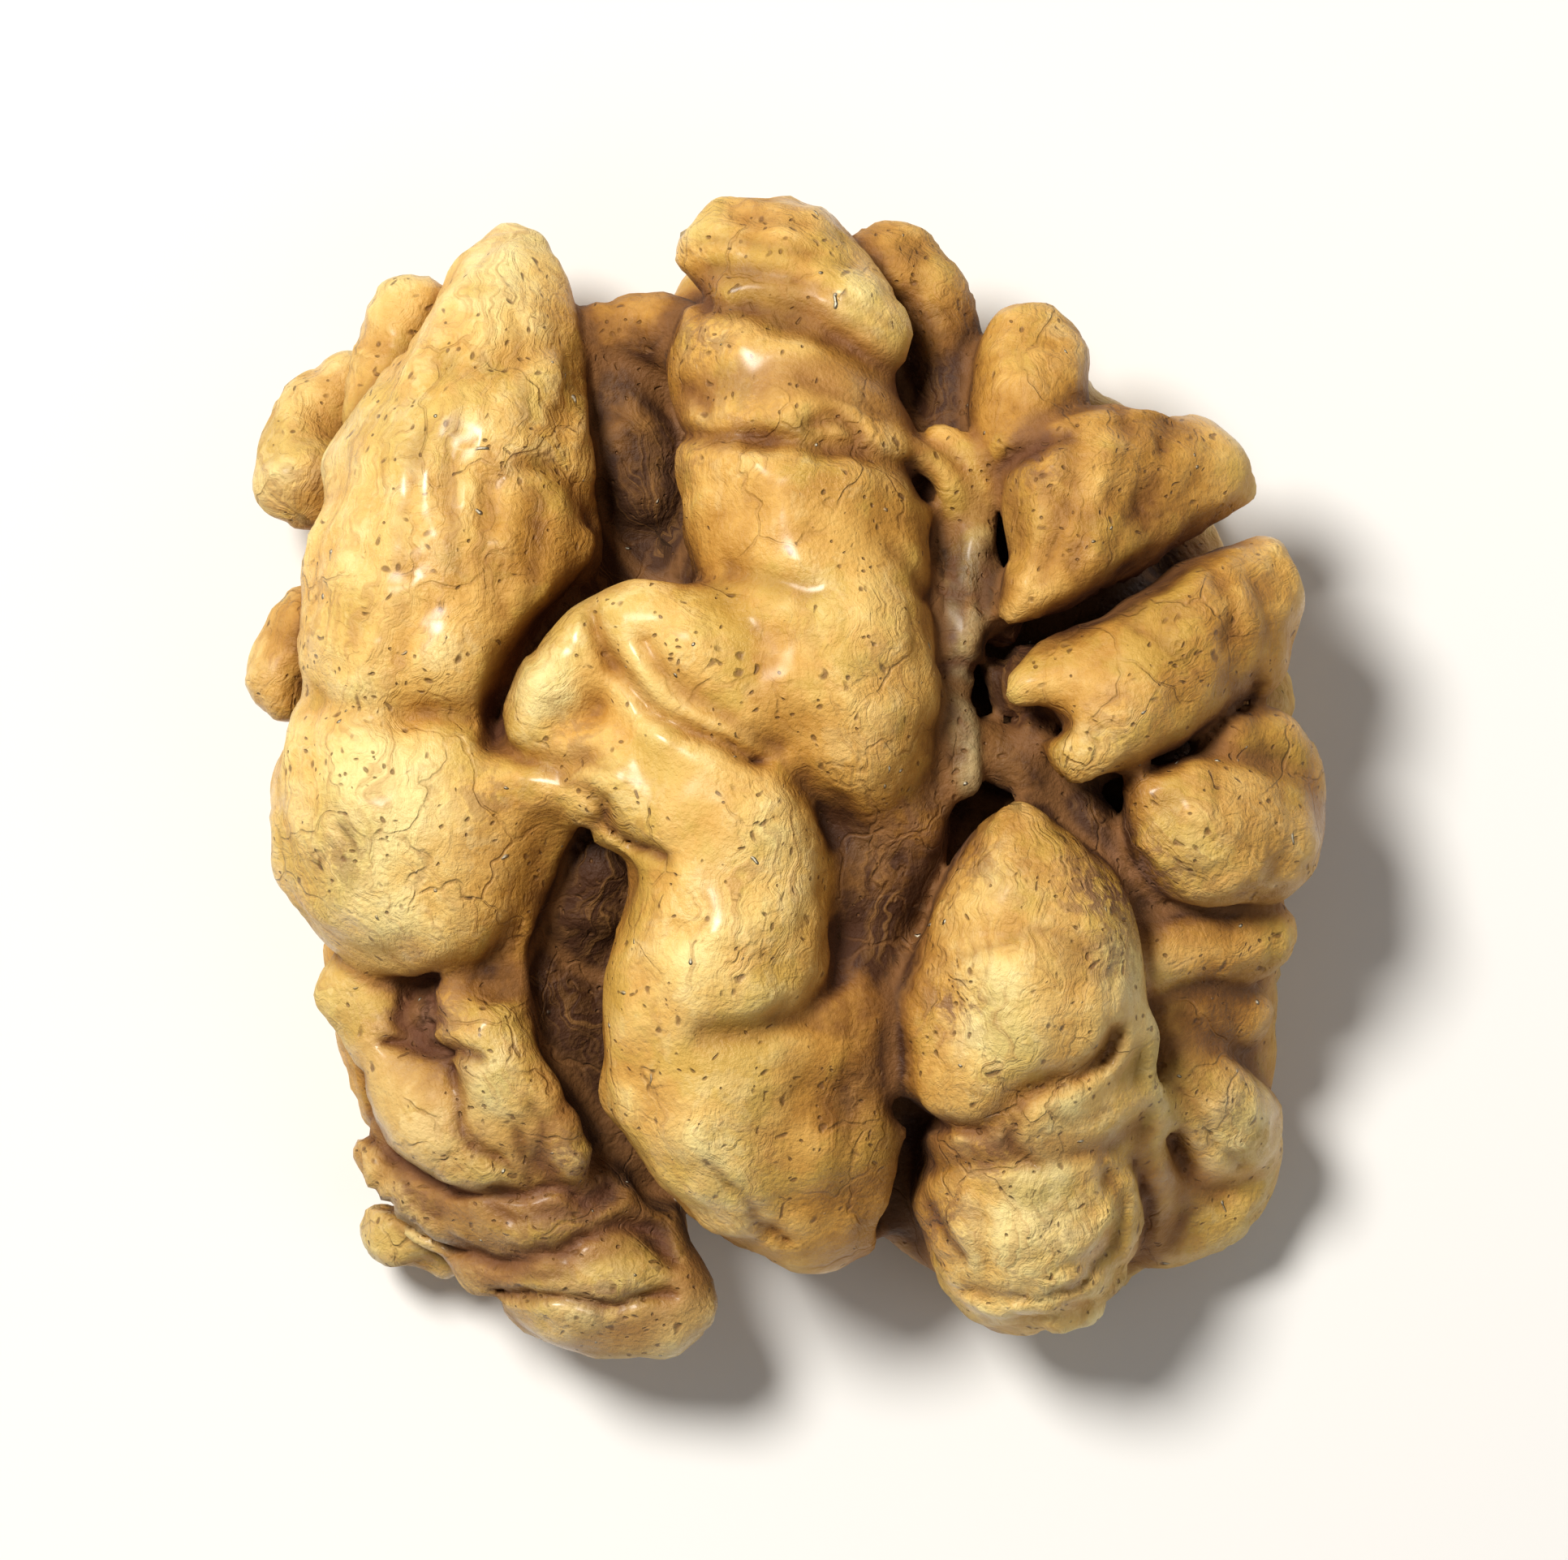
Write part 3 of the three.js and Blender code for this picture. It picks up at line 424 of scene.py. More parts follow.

# %% [markdown]
# ## Creases drawn one by one
# Some creases make this kernel the one it is: where a swelling of the middle column ends, where
# the bean is folded in two, the steps of the heel. Each is a short line on the crown, seen from
# above, with its own depth and half-width. Adding to the distances under a line sinks the skin
# there. Only cells close under the dome take part, so that the hollow below is left alone. The
# lines waver a little by themselves, because no crease in dried skin is smooth.

# %% The drawn creases
# depth, half-width and share of painted crease shade: points of x and y
DRAWN_CREASES = entries("""
# middle column
0.45 0.28 0.55: -3 13.9 | -1.9 12.95 | 0 12.5 | 1.5 11.9 | 3.3 11
0.4 0.28 0.5: -3.3 9.35 | -1.2 9.3 | 0.3 9.35 | 1.4 9.75 | 2.5 8.9 | 3.5 8
0.28 0.4 0.25: -1.4 5.6 | -0.3 5.15 | 0.6 5.05
0.12 0.13 0.25: -2.4 14.9 | 0 14.6 | 2 14
0.14 0.13 0.25: -2.6 14.2 | -0.5 13.9 | 1.6 13.2 | 3 12.4
0.12 0.12 0.2: -1.5 15.6 | 0.4 15.3 | 1.6 14.9
0.14 0.14 0.3: -1 13.2 | 1 12.8 | 2.8 12.1
0.2 0.16 0.25: -2.9 10.9 | -2.2 10.2 | -1.8 9.4
0.14 0.16 0.2: 0.4 10.9 | 1.6 10.4 | 2.8 9.9
0.2 0.2 0.35: 3 6.1 | 3.6 5.4 | 3.9 4.8
0.6 0.35 0.4: -1 9.25 | 0.6 9 | 1.9 8.95 | 3 8.5 | 3.9 7.9
0.5 0.35 0.35: -1.2 12.9 | 0.4 12.6 | 1.7 11.8 | 3.1 10.7 | 3.8 10.2
# long finger and bulb
0.9 0.42 0.55: -4.9 5.6 | -5.8 5 | -6.8 4.1 | -7.6 3 | -8.1 2 | -8.2 0.9
0.45 0.35 0.25: -8.2 0.9 | -7.2 0.3 | -6.2 0.1 | -5.3 0.2
0.16 0.4 0.12: -9.7 11.4 | -8.6 11.2 | -7.4 11.4 | -6.4 12
0.2 0.22 0.35: -8.3 7.9 | -7.5 8.5 | -6.8 8.6 | -6 8 | -5.7 6.9
0.14 0.25 0.2: -8.3 7.9 | -8.5 6.6 | -8.3 5.2 | -7.9 4.2
0.1 0.2 0.3: -9.3 9.8 | -9.5 7.8 | -9.2 5.6
0.1 0.2 0.25: -10.2 9.4 | -10.7 7 | -10.8 4.8
0.1 0.18 0.35: -6.9 7.7 | -6.9 6.2 | -7.3 4.6
0.08 0.16 0.3: -7.6 12.4 | -7.4 11 | -7.2 9.6
0.08 0.2 0.1: -10.5 5.6 | -10.7 4.2 | -10.6 3
0.35 0.5 0.15: -13.8 2.4 | -12.4 1.6 | -10.6 1.45 | -9 1.5 | -8 1.9
0.15 0.11 0.6: -12.5 -1.5 | -12 -2.2
0.3 0.2 0.4: -7.5 0.3 | -6.5 0 | -5.6 -0.5 | -5.2 -0.9
0.45 0.2 0.75: -5.1 -0.9 | -4.9 -1.6 | -4.2 -2.1 | -3.4 -2.4
0.35 0.2 0.55: -5.1 -1.3 | -5.6 -1.6 | -6 -2.3
# bridge and tail
0.5 0.3 0.35: -5.5 4.7 | -5.2 3.6 | -4.6 2.6 | -3.6 1.7 | -2.2 0.8 | -0.8 0.3
0.25 0.28 0.25: -3.9 3.6 | -3 2.3 | -1.6 1.4 | -0.3 0.6
0.4 0.45 0.35: 1.5 -4.6 | 1.4 -5.8 | 0.6 -6.8 | -0.8 -7.3 | -2.2 -7.4
0.25 0.15 0.45: -2.2 -10.9 | -1.4 -11.8 | -0.7 -12.7 | 0 -13.3
# bean
0.55 0.3 0.45: 3.1 -9.5 | 4.5 -10 | 5.5 -10.1 | 6.3 -9.4 | 7.2 -8.9 | 8.2 -8.5 | 8.9 -8.1 |
  9.2 -7.4
0.2 0.22 0.3: 4 -11.2 | 5.4 -11 | 6.8 -11.2 | 7.8 -10.9 | 9.2 -10.7
0.25 0.16 0.4: 8.8 -11 | 9.5 -12.2 | 9.4 -13.5 | 8.5 -14.4 | 6.8 -14.9 | 5.2 -14.6
0.25 0.15 0.4: 9.8 -10.9 | 10.3 -12.4 | 10.2 -13.9 | 9.2 -15.1
0.2 0.16 0.7: 4.1 -12.3 | 4.5 -13.1 | 5 -13.7
0.35 0.2 0.6: 6.7 -9.4 | 6.3 -10 | 6.4 -10.7 | 7 -11.1
0.15 0.14 0.4: 4.6 -10.4 | 5.4 -10.7 | 6.1 -10.4
0.12 0.14 0.4: 7.4 -9.6 | 8.2 -9.9 | 9 -9.5
0.1 0.14 0.3: 4.9 -5.2 | 5.8 -4.9 | 6.9 -4.4 | 8 -4.7 | 8.9 -5.3
0.08 0.3 0.1: 4.6 -4.4 | 6.2 -4.6 | 7.8 -5 | 9 -5.7
# right-hand folds
1.2 0.42 0.6: 6.1 3.4 | 7.2 4 | 8.4 4.6 | 9.8 5.3 | 11.2 6.2 | 12.8 6.9
0.5 0.3 0.3: 6.4 1.5 | 7 1.6 | 7.7 1.1
0.4 0.3 0.25: 10.3 0.2 | 11.4 0.7 | 12.4 1.5 | 13.3 2.4
0.12 0.2 0.2: 8 9.6 | 8 8.4 | 7.7 6.9 | 7.1 5.2
0.16 0.2 0.25: 9.5 10 | 9.5 8.9 | 9 7.6 | 8 5.9
0.1 0.18 0.2: 10.7 9.7 | 10.6 8.8 | 10 7.6 | 9 6.2
0.1 0.16 0.2: 12 9.2 | 11.6 8.4 | 10.8 7.4 | 9.8 6.4
0.3 0.25 0.7: 6.2 8.7 | 7 9 | 7.9 9.3
0.14 0.14 0.6: 4.9 6.5 | 4.6 5.5 | 5 4.7 | 4.7 3.7
0.14 0.14 0.5: 5.7 6.1 | 5.5 5.2 | 5.5 4.4
0.14 0.12 0.6: 4.3 5 | 4.9 4.7 | 5.5 5
0.2 0.14 0.8: 4.3 2.9 | 4.9 3.1 | 5.5 2.7
0.12 0.12 0.5: 4.6 1.8 | 5 1 | 4.8 0.2
0.16 0.16 0.25: 12.2 6.6 | 11.9 5.8 | 12.4 4.8 | 12.3 3.6
0.12 0.14 0.2: 9.4 4.3 | 10.6 3.4 | 11.6 2.6
0.18 0.16 0.3: 11.2 -9.1 | 12 -10.3 | 12.9 -11.2
0.16 0.16 0.25: 10.9 -10.4 | 11.6 -11.6 | 12.3 -12.4
# heel
0.5 0.22 0.7: -12 -10.3 | -10.9 -11.2 | -9.5 -11.9 | -7.8 -12 | -6.5 -11.7 | -5.6 -12.2 | -5 -11.8
0.45 0.22 0.65: -11.6 -12.2 | -10.6 -12.9 | -9.3 -13.7 | -8 -14 | -7 -13.7
0.4 0.2 0.65: -7 -13.6 | -6.3 -13.7 | -5.8 -13.2 | -4.6 -12.8 | -3.6 -13.2 | -3.2 -13.9
0.45 0.2 0.65: -8.2 -14.9 | -6.5 -14.8 | -5.2 -15.2 | -4.2 -14.9 | -3.2 -14.8
0.4 0.22 0.8: -9.9 -5.9 | -10.6 -6.3 | -10.9 -7.1 | -10.3 -7.7
0.3 0.16 0.7: -10.1 -6.3 | -9.7 -7 | -10.2 -7.4
0.4 0.18 0.8: -11.2 -7.7 | -10.2 -7.9 | -9.4 -7.9 | -8.5 -8.1
0.3 0.18 0.6: -9.5 -8.2 | -9.2 -9.1 | -9.1 -9.9 | -8.7 -10.6 | -7.9 -11.1
0.2 0.16 0.4: -7 -9.5 | -7.6 -10.1 | -7.3 -10.9 | -6.6 -11.3
0.2 0.16 0.6: -7.1 -9.3 | -6.8 -10.1 | -6.9 -10.9 | -7.3 -11.5
0.25 0.16 0.5: -12 -8.6 | -11.7 -9.8 | -11.2 -10.6
0.25 0.16 0.6: -11 -11.5 | -10.6 -12.3 | -9.9 -12.6
0.2 0.15 0.5: -8.6 -12.1 | -7.7 -12.7 | -6.6 -12.5 | -5.6 -12.6
0.2 0.15 0.45: -7.9 -14.1 | -7 -14.3 | -6.2 -14.2
""")

CROWN_DEPTH = 5.5
CROWN_FADE = 1.5
WAVER = 0.12
WAVER_WIDTH = 0.9
CREASE_REACH = 2.5  # half-widths from a line to where its crease has run out


def distance_to_line(places, line):
    best = np.full(len(places), np.inf)
    for start, end in zip(line, line[1:]):
        step = end - start
        t = np.clip((places - start) @ step / (step @ step), 0, 1)
        best = np.minimum(best, np.linalg.norm(places - start - t[:, None] * step, axis=1))
    return best


def creased(points):
    """How far the creases sink each point, and how much painted shade they lay on it."""
    sunk, drawn = np.zeros((2, len(points)))
    x, y, z = (points - CENTRING_SHIFT).T
    on_crown = np.clip((CROWN_DEPTH - (dome_height(x, y) - z)) / CROWN_FADE, 0, 1)
    wavy = points[:, :2] + WAVER * np.stack(
        [lumps(points / WAVER_WIDTH, seed) for seed in (7, 8)], axis=-1
    )
    for key, line in DRAWN_CREASES:
        depth, half_width, shade_share = (float(word) for word in key.split())
        line = line + CENTRING_SHIFT[:2]
        reach = CREASE_REACH * half_width
        beside = np.all((wavy > line.min(0) - reach) & (wavy < line.max(0) + reach), axis=1)
        index = np.flatnonzero(beside & (on_crown > 0))
        away = distance_to_line(wavy[index], line)
        share = np.exp(-(away / half_width) ** 2) * on_crown[index]
        sunk[index] = np.maximum(sunk[index], depth * share)
        drawn[index] = np.maximum(drawn[index], shade_share * share)
    return sunk, drawn


# %% Sink the creases
SINKING_REACH = 1.4

near = np.abs(field) < SINKING_REACH
where_near = grid_low + VOXEL * np.argwhere(near)
sunk, _ = creased(where_near)
field[near] += sunk
print(len(DRAWN_CREASES), "creases, the deepest", round(float(sunk.max()), 2), "mm")

# %% [markdown]
# Then everything under the surface that the kernel lies on is cut away, which leaves the small
# flat spots it rests on, and the field becomes a mesh of four-sided faces.

# %% From distances to a mesh
heights = grid_low[2] + VOXEL * np.arange(grid_shape[2])
field = np.maximum(field, -heights)


def mesh_of(values):
    """Corner points in millimetres, and four-sided faces, where the field crosses zero."""
    grid = openvdb.FloatGrid(float(FAR))
    grid.copyFromArray(values.astype(np.float32))
    points, quads = grid.convertToQuads(isovalue=0.0)
    return points * VOXEL + grid_low, quads.astype(int)


skin_points, skin_faces = mesh_of(field)
print(len(skin_points), "points and", len(skin_faces), "faces")

# %% [markdown]
# Folds that touch all round a pocket close it off inside the kernel. The mesh of such a pocket
# can never be seen, so only the largest connected surface is kept. Each point starts with its own
# label, and neighbours keep swapping for the smaller one until every surface has a single label.

# %% Keep the outer skin
def connected_labels(count, faces):
    labels = np.arange(count)
    while True:
        lowest = labels[faces].min(axis=1)
        swapped = labels.copy()
        np.minimum.at(swapped, faces, lowest[:, None])
        swapped = swapped[swapped]
        if np.array_equal(swapped, labels):
            return labels
        labels = swapped


labels = connected_labels(len(skin_points), skin_faces)
outer = np.bincount(labels).argmax()
kept = labels == outer
renumbered = np.cumsum(kept) - 1
skin_faces = renumbered[skin_faces[kept[skin_faces[:, 0]]]]
skin_points = skin_points[kept]
print("the outer skin keeps", len(skin_points), "points of", len(labels))

# %% [markdown]
# ## How shaded each point is
# The skin is darkest deep in the creases and palest on the crests, where it was rubbed. A little of
# that is the skin's own tone, and most of it is painted shade. A blurred copy of the solid tells
# creases from crests: on flat skin half of the neighbourhood is kernel, in a crease more than half,
# on a crest less. A small blur finds the creases, a wide one the valleys.

# %% Measure hollows and crests
def blurred(values, radius):
    """Three box blurs along each axis, which come close to a round one."""
    reach = max(1, round(radius / VOXEL / 2))
    for axis in range(3):
        for _ in range(3):
            margins = [(reach + 1, reach) if k == axis else (0, 0) for k in range(3)]
            widened = np.pad(values, margins, "edge")
            total = np.cumsum(widened, axis=axis)
            ahead = np.take(total, range(2 * reach + 1, total.shape[axis]), axis=axis)
            behind = np.take(total, range(0, total.shape[axis] - 2 * reach - 1), axis=axis)
            values = (ahead - behind) / (2 * reach + 1)
    return values


def sampled(values, points):
    """The values of a grid at points between its cells."""
    place = (points - grid_low) / VOXEL
    cell = np.clip(np.floor(place).astype(int), 0, grid_shape - 2)
    return sum(
        weight * values[tuple((cell + corner).T)]
        for corner, weight in corner_weights(place - cell)
    )


SMALL_BLUR = 0.7
WIDE_BLUR = 2.2

filled = np.clip(0.5 - field / VOXEL, 0, 1)
crease = sampled(blurred(filled, SMALL_BLUR), skin_points) - 0.5
valley = sampled(blurred(filled, WIDE_BLUR), skin_points) - 0.5
slopes = np.gradient(field, VOXEL)
skin_normals = np.stack([sampled(slope, skin_points) for slope in slopes], axis=-1)
skin_normals /= np.linalg.norm(skin_normals, axis=1, keepdims=True)
print("crease from", crease.min().round(2), "to", crease.max().round(2))
print("valley from", valley.min().round(2), "to", valley.max().round(2))

# %% [markdown]
# ## Which fold each point is on
# The skin's grain follows the folds: fine streaks run along them and small wrinkles run across.
# So each point needs to know its fold, how far along it lies and how far round. The two nearest
# folds together also say where the narrow seams between folds are. Skins differ from fold to fold:
# the finger is pale and smooth, the heel grey and puckered. Where two folds meet, the nearer one
# counts for more, so no hard border shows between their skins.

# %% What each fold's skin is like
# fold: depth of wrinkles across it and of grooves along it in millimetres, paleness, greyness
EVEN_SKIN = rows_of("0.1 0.07 0 0")
SKIN_OF_FOLD = dict(entries("""
leftFinger: 0.06 0.09 0.45 0
shoulder: 0.12 0.07 0.1 0.1
leftKnobUpper: 0.1 0.07 0.2 0.15
leftKnobLower: 0.1 0.07 0 0.1
neck: 0.06 0.08 0.45 0
bridgeLobe: 0.07 0.08 0.35 0
bridge: 0.07 0.08 0.35 0
bridgeShoulder: 0.07 0.08 0.15 0
tail: 0.07 0.13 0.2 0
tailSide: 0.05 0.16 -0.3 0
columnCap: 0.14 0.1 0 0
columnSecond: 0.14 0.08 0.05 0
columnThird: 0.1 0.07 0.1 0
columnFourth: 0.06 0.06 0.3 0
apron: 0.07 0.12 -0.4 0.1
heel: 0.2 0.12 0 0.4
heelKnob: 0.12 0.1 0.3 0.3
heelRidge: 0.12 0.08 0.4 0.2
heelBulge: 0.1 0.08 0.3 0.3
heelCurl: 0.12 0.1 0 0.3
heelSecond: 0.3 0.16 -0.25 0.4
heelThird: 0.3 0.16 0 0.45
heelFourth: 0.28 0.16 -0.1 0.45
heelCrumb: 0.2 0.1 0 0.4
notchRidge: 0.2 0.12 -0.5 0
notchDisc: 0.15 0.1 0.1 0.4
valleyFoldLeft: 0.2 0.12 -0.7 0.1
valleyFoldRight: 0.2 0.12 -0.7 0.1
grooveRim: 0.15 0.12 -0.8 0.1
grooveThreadLeft: 0 0 0.9 0
grooveThreadRight: 0 0 0.9 0
grooveFlap: 0.25 0.15 1 1.5
grooveFlapLow: 0.25 0.15 1 1.5
grooveKnob: 0.2 0.1 -0.5 0.4
grooveFloor: 0.2 0.1 -1 0.1
rightKnob: 0.12 0.08 -0.2 0
rightEar: 0.08 0.12 -0.7 0
rightEarMiddle: 0.08 0.12 -0.75 0
rightPaw: 0.08 0.12 -0.5 0
rightPawSide: 0.08 0.12 -0.7 0
rightPawToe: 0.08 0.1 -0.3 0
rightBulb: 0.12 0.1 -0.05 0.1
rightBrow: 0.12 0.1 -0.6 0
rightShelf: 0.12 0.12 -0.35 0.1
rightShelfLow: 0.12 0.12 -0.35 0.1
rightThumb: 0.16 0.1 -0.1 0.2
pitFold: 0.25 0.12 -0.6 0.3
bean: 0.07 0.08 0.15 0.05
beanKnuckle: 0.2 0.1 0.3 0.1
beanFoot: 0.14 0.08 0.35 0.05
beanHem: 0.12 0.1 -0.1 0.2
hemCurl: 0 0 1.2 0.8
hemCurlLow: 0 0 1.2 0.8
"""))
BLEND_WIDTH = 0.4
EVEN_WEIGHT = 0.05  # how much the even skin counts beside the folds' own

# %% Place each point on its fold
SEAM_WIDTH = 0.5
OWN_WIDTH = 0.9
BESIDE = 1.6

folds = pads + edges + crown
nearest_gap = np.full(len(skin_points), FAR)
second_gap = np.full(len(skin_points), FAR)
pressed_gap = np.full(len(skin_points), FAR)
which = np.full(len(skin_points), -1)
along_fold = skin_points[:, 1].copy()
round_fold = skin_points[:, 0].copy()
traits = EVEN_WEIGHT * EVEN_SKIN.repeat(len(skin_points), axis=0)
trait_weight = np.full(len(skin_points), EVEN_WEIGHT)

for number, fold in enumerate(folds):
    inside = (skin_points > fold.low - BESIDE) & (skin_points < fold.high + BESIDE)
    index = np.flatnonzero(inside.all(axis=1))
    gap, piece, share = fold.nearest(skin_points[index])
    nearer = gap < nearest_gap[index]
    weight = np.exp(-gap / BLEND_WIDTH)
    traits[index] += weight[:, None] * SKIN_OF_FOLD.get(fold.name, EVEN_SKIN)
    trait_weight[index] += weight
    second_gap[index] = np.where(nearer, nearest_gap[index], np.minimum(second_gap[index], gap))
    merged = GROWN_TOGETHER.get(fold.name, 0)
    pressed_gap[index] = np.where(
        nearer, nearest_gap[index] + merged, np.minimum(pressed_gap[index], gap + merged)
    )
    index, piece, share = index[nearer], piece[nearer], share[nearer, None]
    middle = fold.middle[piece] * (1 - share) + fold.middle[piece + 1] * share
    away = skin_points[index] - middle
    beyond = (away * fold.along[piece]).sum(1)
    angle = np.arctan2((away * fold.across[piece]).sum(1), (away * fold.up[piece]).sum(1))
    nearest_gap[index] = gap[nearer]
    which[index] = number
    piece_length = fold.run[piece + 1] - fold.run[piece]
    along_fold[index] = fold.run[piece] + beyond + share[:, 0] * piece_length
    round_fold[index] = angle * fold.radius[piece]

# Painted shade in the narrow seams between folds that are only pressed together
seam = np.exp(-np.maximum(pressed_gap - nearest_gap, 0) ** 2 / SEAM_WIDTH**2)
own_fold = 1 - np.exp(-((second_gap - nearest_gap) / OWN_WIDTH) ** 2)
across_depth, along_depth, paleness_and_painted_light, greyness = (traits / trait_weight[:, None]).T
print("points on no fold:", int((which < 0).sum()))

# %% [markdown]
# ## Wrinkles
# The skin dried on the nut and puckered. Long folds have faint grooves along them, crowded ones
# have short wrinkles across them. Both are smooth noise, stretched one way by measuring it along
# and round each fold, and each point moves in or out along its normal by that much. A wobble in
# the measured places keeps the wrinkles from lining up like the ribs of a washboard.

# %% Wrinkle the skin
FOLD_APART = 9.0  # keeps the noise of one fold clear of the next one's
WOBBLE = 0.75
WOBBLE_WIDTH = 1.6
# (height, waves per millimetre along, round and between folds, seed) of each layer
WRINKLE_LAYERS = [(1.0, (1.0, 0.5, 1), 3), (0.6, (2.3, 1.0, 1), 4)]
GROOVE_LAYERS = [(1.0, (0.22, 1.25, 1), 5), (0.5, (0.4, 2.2, 1), 6)]
FLOOR_FADE = 0.6


def layered(places, layers):
    return sum(height * lumps(places * waves, seed) for height, waves, seed in layers)


fold_place = np.stack([along_fold, round_fold, which * FOLD_APART], axis=-1)
wobble = np.stack([lumps(skin_points / WOBBLE_WIDTH, seed) for seed in (10, 11)], axis=-1)
uneven = fold_place + np.pad(WOBBLE * wobble, ((0, 0), (0, 1)))
clear_of_floor = np.clip(skin_points[:, 2] / FLOOR_FADE, 0, 1)
wrinkled_by = across_depth * layered(uneven, WRINKLE_LAYERS)
grooved_by = along_depth * layered(uneven, GROOVE_LAYERS)
push = (wrinkled_by + grooved_by) * own_fold * clear_of_floor
skin_points = skin_points + push[:, None] * skin_normals
print("wrinkles reach", round(float(np.abs(push).max()), 2), "mm")

# %% [markdown]
# ## Rubbed, stained, bruised, and painted light and shade
# Nuts are shaken in a sack: some swellings are rubbed pale, others keep a stain, and a few are
# bruised purple-brown. These are soft round dabs, placed from above; some pale dabs are painted
# highlights where glints fall, and some dark ones are painted shade on sides turned from the lamp.
# Then one number says how dark each point's skin is, most of it painted shade: it grows with the
# depth of the valley, of the crease and of the drop from the dome of crests, and falls with
# paleness and on the crest of a wrinkle, where it is a painted highlight.

# %% Dabs on the skin
# x, y, radius and paleness of dabs: rubbed pale, or, if negative, stained; some pale ones are
# painted highlights at glints, and some negative ones painted shade on sides turned from the lamp
TONE_AND_PAINTED_LIGHT_PATCHES = rows_of("""
-11.6 -0.6 2.6 1 | -10.6 -4.5 1.3 0.7 | -6.9 2.2 1.4 0.4 | -4.4 2.3 1.2 0.4 | -0.4 -2.8 1.7 0.6 |
-3.6 -5 1.3 0.7 | -4.4 -9.2 0.6 1 | -1.6 -10.6 1.2 0.4 | 5.2 -6.6 1.5 1 | 4.3 -4 0.9 0.8 |
6.8 -12 1.5 0.9 | 8 -9.8 1.2 0.8 | -8 -7.9 0.8 0.8 | -8.2 -9.4 0.8 0.6 | -5.2 -14.3 1.2 0.5 |
2.3 13.6 0.8 0.9 | -12.2 -6.1 0.8 0.7 | -10.4 -9.6 0.8 0.5 | -10.9 -13.3 0.7 0.6 |
-9.2 -5.9 1.4 -0.6 | 10.4 -5.6 1.2 0.9 | -6.2 9.6 1.3 0.5 | 5.9 -8.4 1.2 0.4 | -3.8 1.7 1 0.6 |
-10.6 -1.2 2 0.7 | 5.5 -7.2 0.9 0.9 | 7.3 -11.7 1 0.6 | 8.2 -9.6 0.8 0.7 | -8.9 -9.4 1 0.8 |
0.5 7.8 1.5 -0.3 | 5.4 -3.2 0.8 0.6 | -7.6 6.5 0.8 -0.4 | 1 5 1.4 0.3 | 11.4 -1.9 1.2 0.6 |
12.2 -9.9 0.8 0.7 | 8.7 0.6 0.8 0.8 | 8.8 9.2 0.9 0.3 | -10.4 9.4 1.5 0.5 | -11.8 6.2 1.5 0.5 |
-8.2 13.2 1 0.4 | -6.6 6.2 1.7 -0.8 | 3.4 7 1.1 -0.5 | -0.4 14.6 1.4 -0.4 | -12.8 8.8 0.7 0.5 |
6.9 8.9 0.9 -0.9 | -2.4 12.9 0.8 -0.5 | 2.9 -8.5 1.4 -0.6 | -10.3 -6.8 0.6 -1.2 |
9.4 8.2 1.8 -0.4 | 8.2 5.8 1.4 -0.5 | 11.4 3.2 2.4 -0.4 | 8 7.6 0.8 0.4 | 10.3 -5.5 1 0.9 |
12.4 -10.5 1.3 0.7 | 6.6 -12.2 1.4 0.6 | -6.6 1.9 1 0.6 | 6.9 10.8 1.3 -0.5 | 6.8 -4.9 1.3 -0.4 |
-0.4 11.2 1 0.4 | -6 -5.6 1.8 -0.8 | 12.7 4.4 0.9 -0.4 | 9.2 2.6 1.2 0.2 | 1 10.9 1.6 -0.2 |
2.6 -4.6 1.3 -0.3 | -7 1.9 0.9 0.5 | 5.7 3.4 0.5 -1.5 | 5.9 5.2 0.5 -1.5
""")
# x, y, radius and amount of patches where the skin is bruised purple-brown and more speckled
BRUISES = rows_of("""
4.7 -6.6 0.9 1 | 8.6 -3.4 1.2 0.8 | 9 -5.4 0.8 0.7 | 5.4 -2.6 0.8 0.6 | 5.8 -10.7 1 1 |
4.5 -12.8 0.9 0.8 | 7.7 -13.2 0.9 0.5 | 10.1 -3 1.4 1 | -10.2 -6.9 1.1 1.2 | -9.3 -8.5 0.6 0.6 |
-9 -10.3 0.6 0.6 | -6.2 -11.2 1.2 0.9 | -10.4 -12.2 0.9 0.8 | -6.4 -12.9 1.1 0.7 |
-8.4 -14.2 1.1 0.7 | -5 -15 1 0.8 | -12.4 -2.4 0.9 0.7 | -8.4 -0.7 1.1 0.6 | -13.6 8.4 0.9 0.5 |
6.9 8.8 0.9 1 | -2.4 12.2 1 0.7 | -3 9 0.9 0.5 | 3.6 -1.6 1.2 0.6 | 12.8 -9.4 0.8 0.5 |
-1.2 10.2 1.2 0.4 | 9.2 1.2 0.9 0.5 | -5.8 1 0.9 0.5 | -3.4 -6.8 0.8 0.3
""")
LOWEST_DAB = 3.0

x, y, z = (skin_points - CENTRING_SHIFT).T


def dabbed(dabs):
    """The sum of all dabs at each point of the skin, but nothing on its lowest parts."""
    total = np.zeros(len(skin_points))
    for dab_x, dab_y, radius, amount in dabs:
        total += amount * np.exp(-((x - dab_x) ** 2 + (y - dab_y) ** 2) / radius**2)
    return total * (z > LOWEST_DAB)


# Pale and dark dabs, some of them painted highlights and painted shade
paleness_and_painted_light += dabbed(TONE_AND_PAINTED_LIGHT_PATCHES)
bruised = dabbed(BRUISES)
print("paleness from", paleness_and_painted_light.min().round(2), "to", paleness_and_painted_light.max().round(2))

# %% How dark each point is
EVEN_DARKNESS = 0.54
DEEPEST_DROP = 6.0
DROP_FADE = 3.0  # how far above the lowest dab the drop begins to count in full

_, drawn = creased(skin_points)
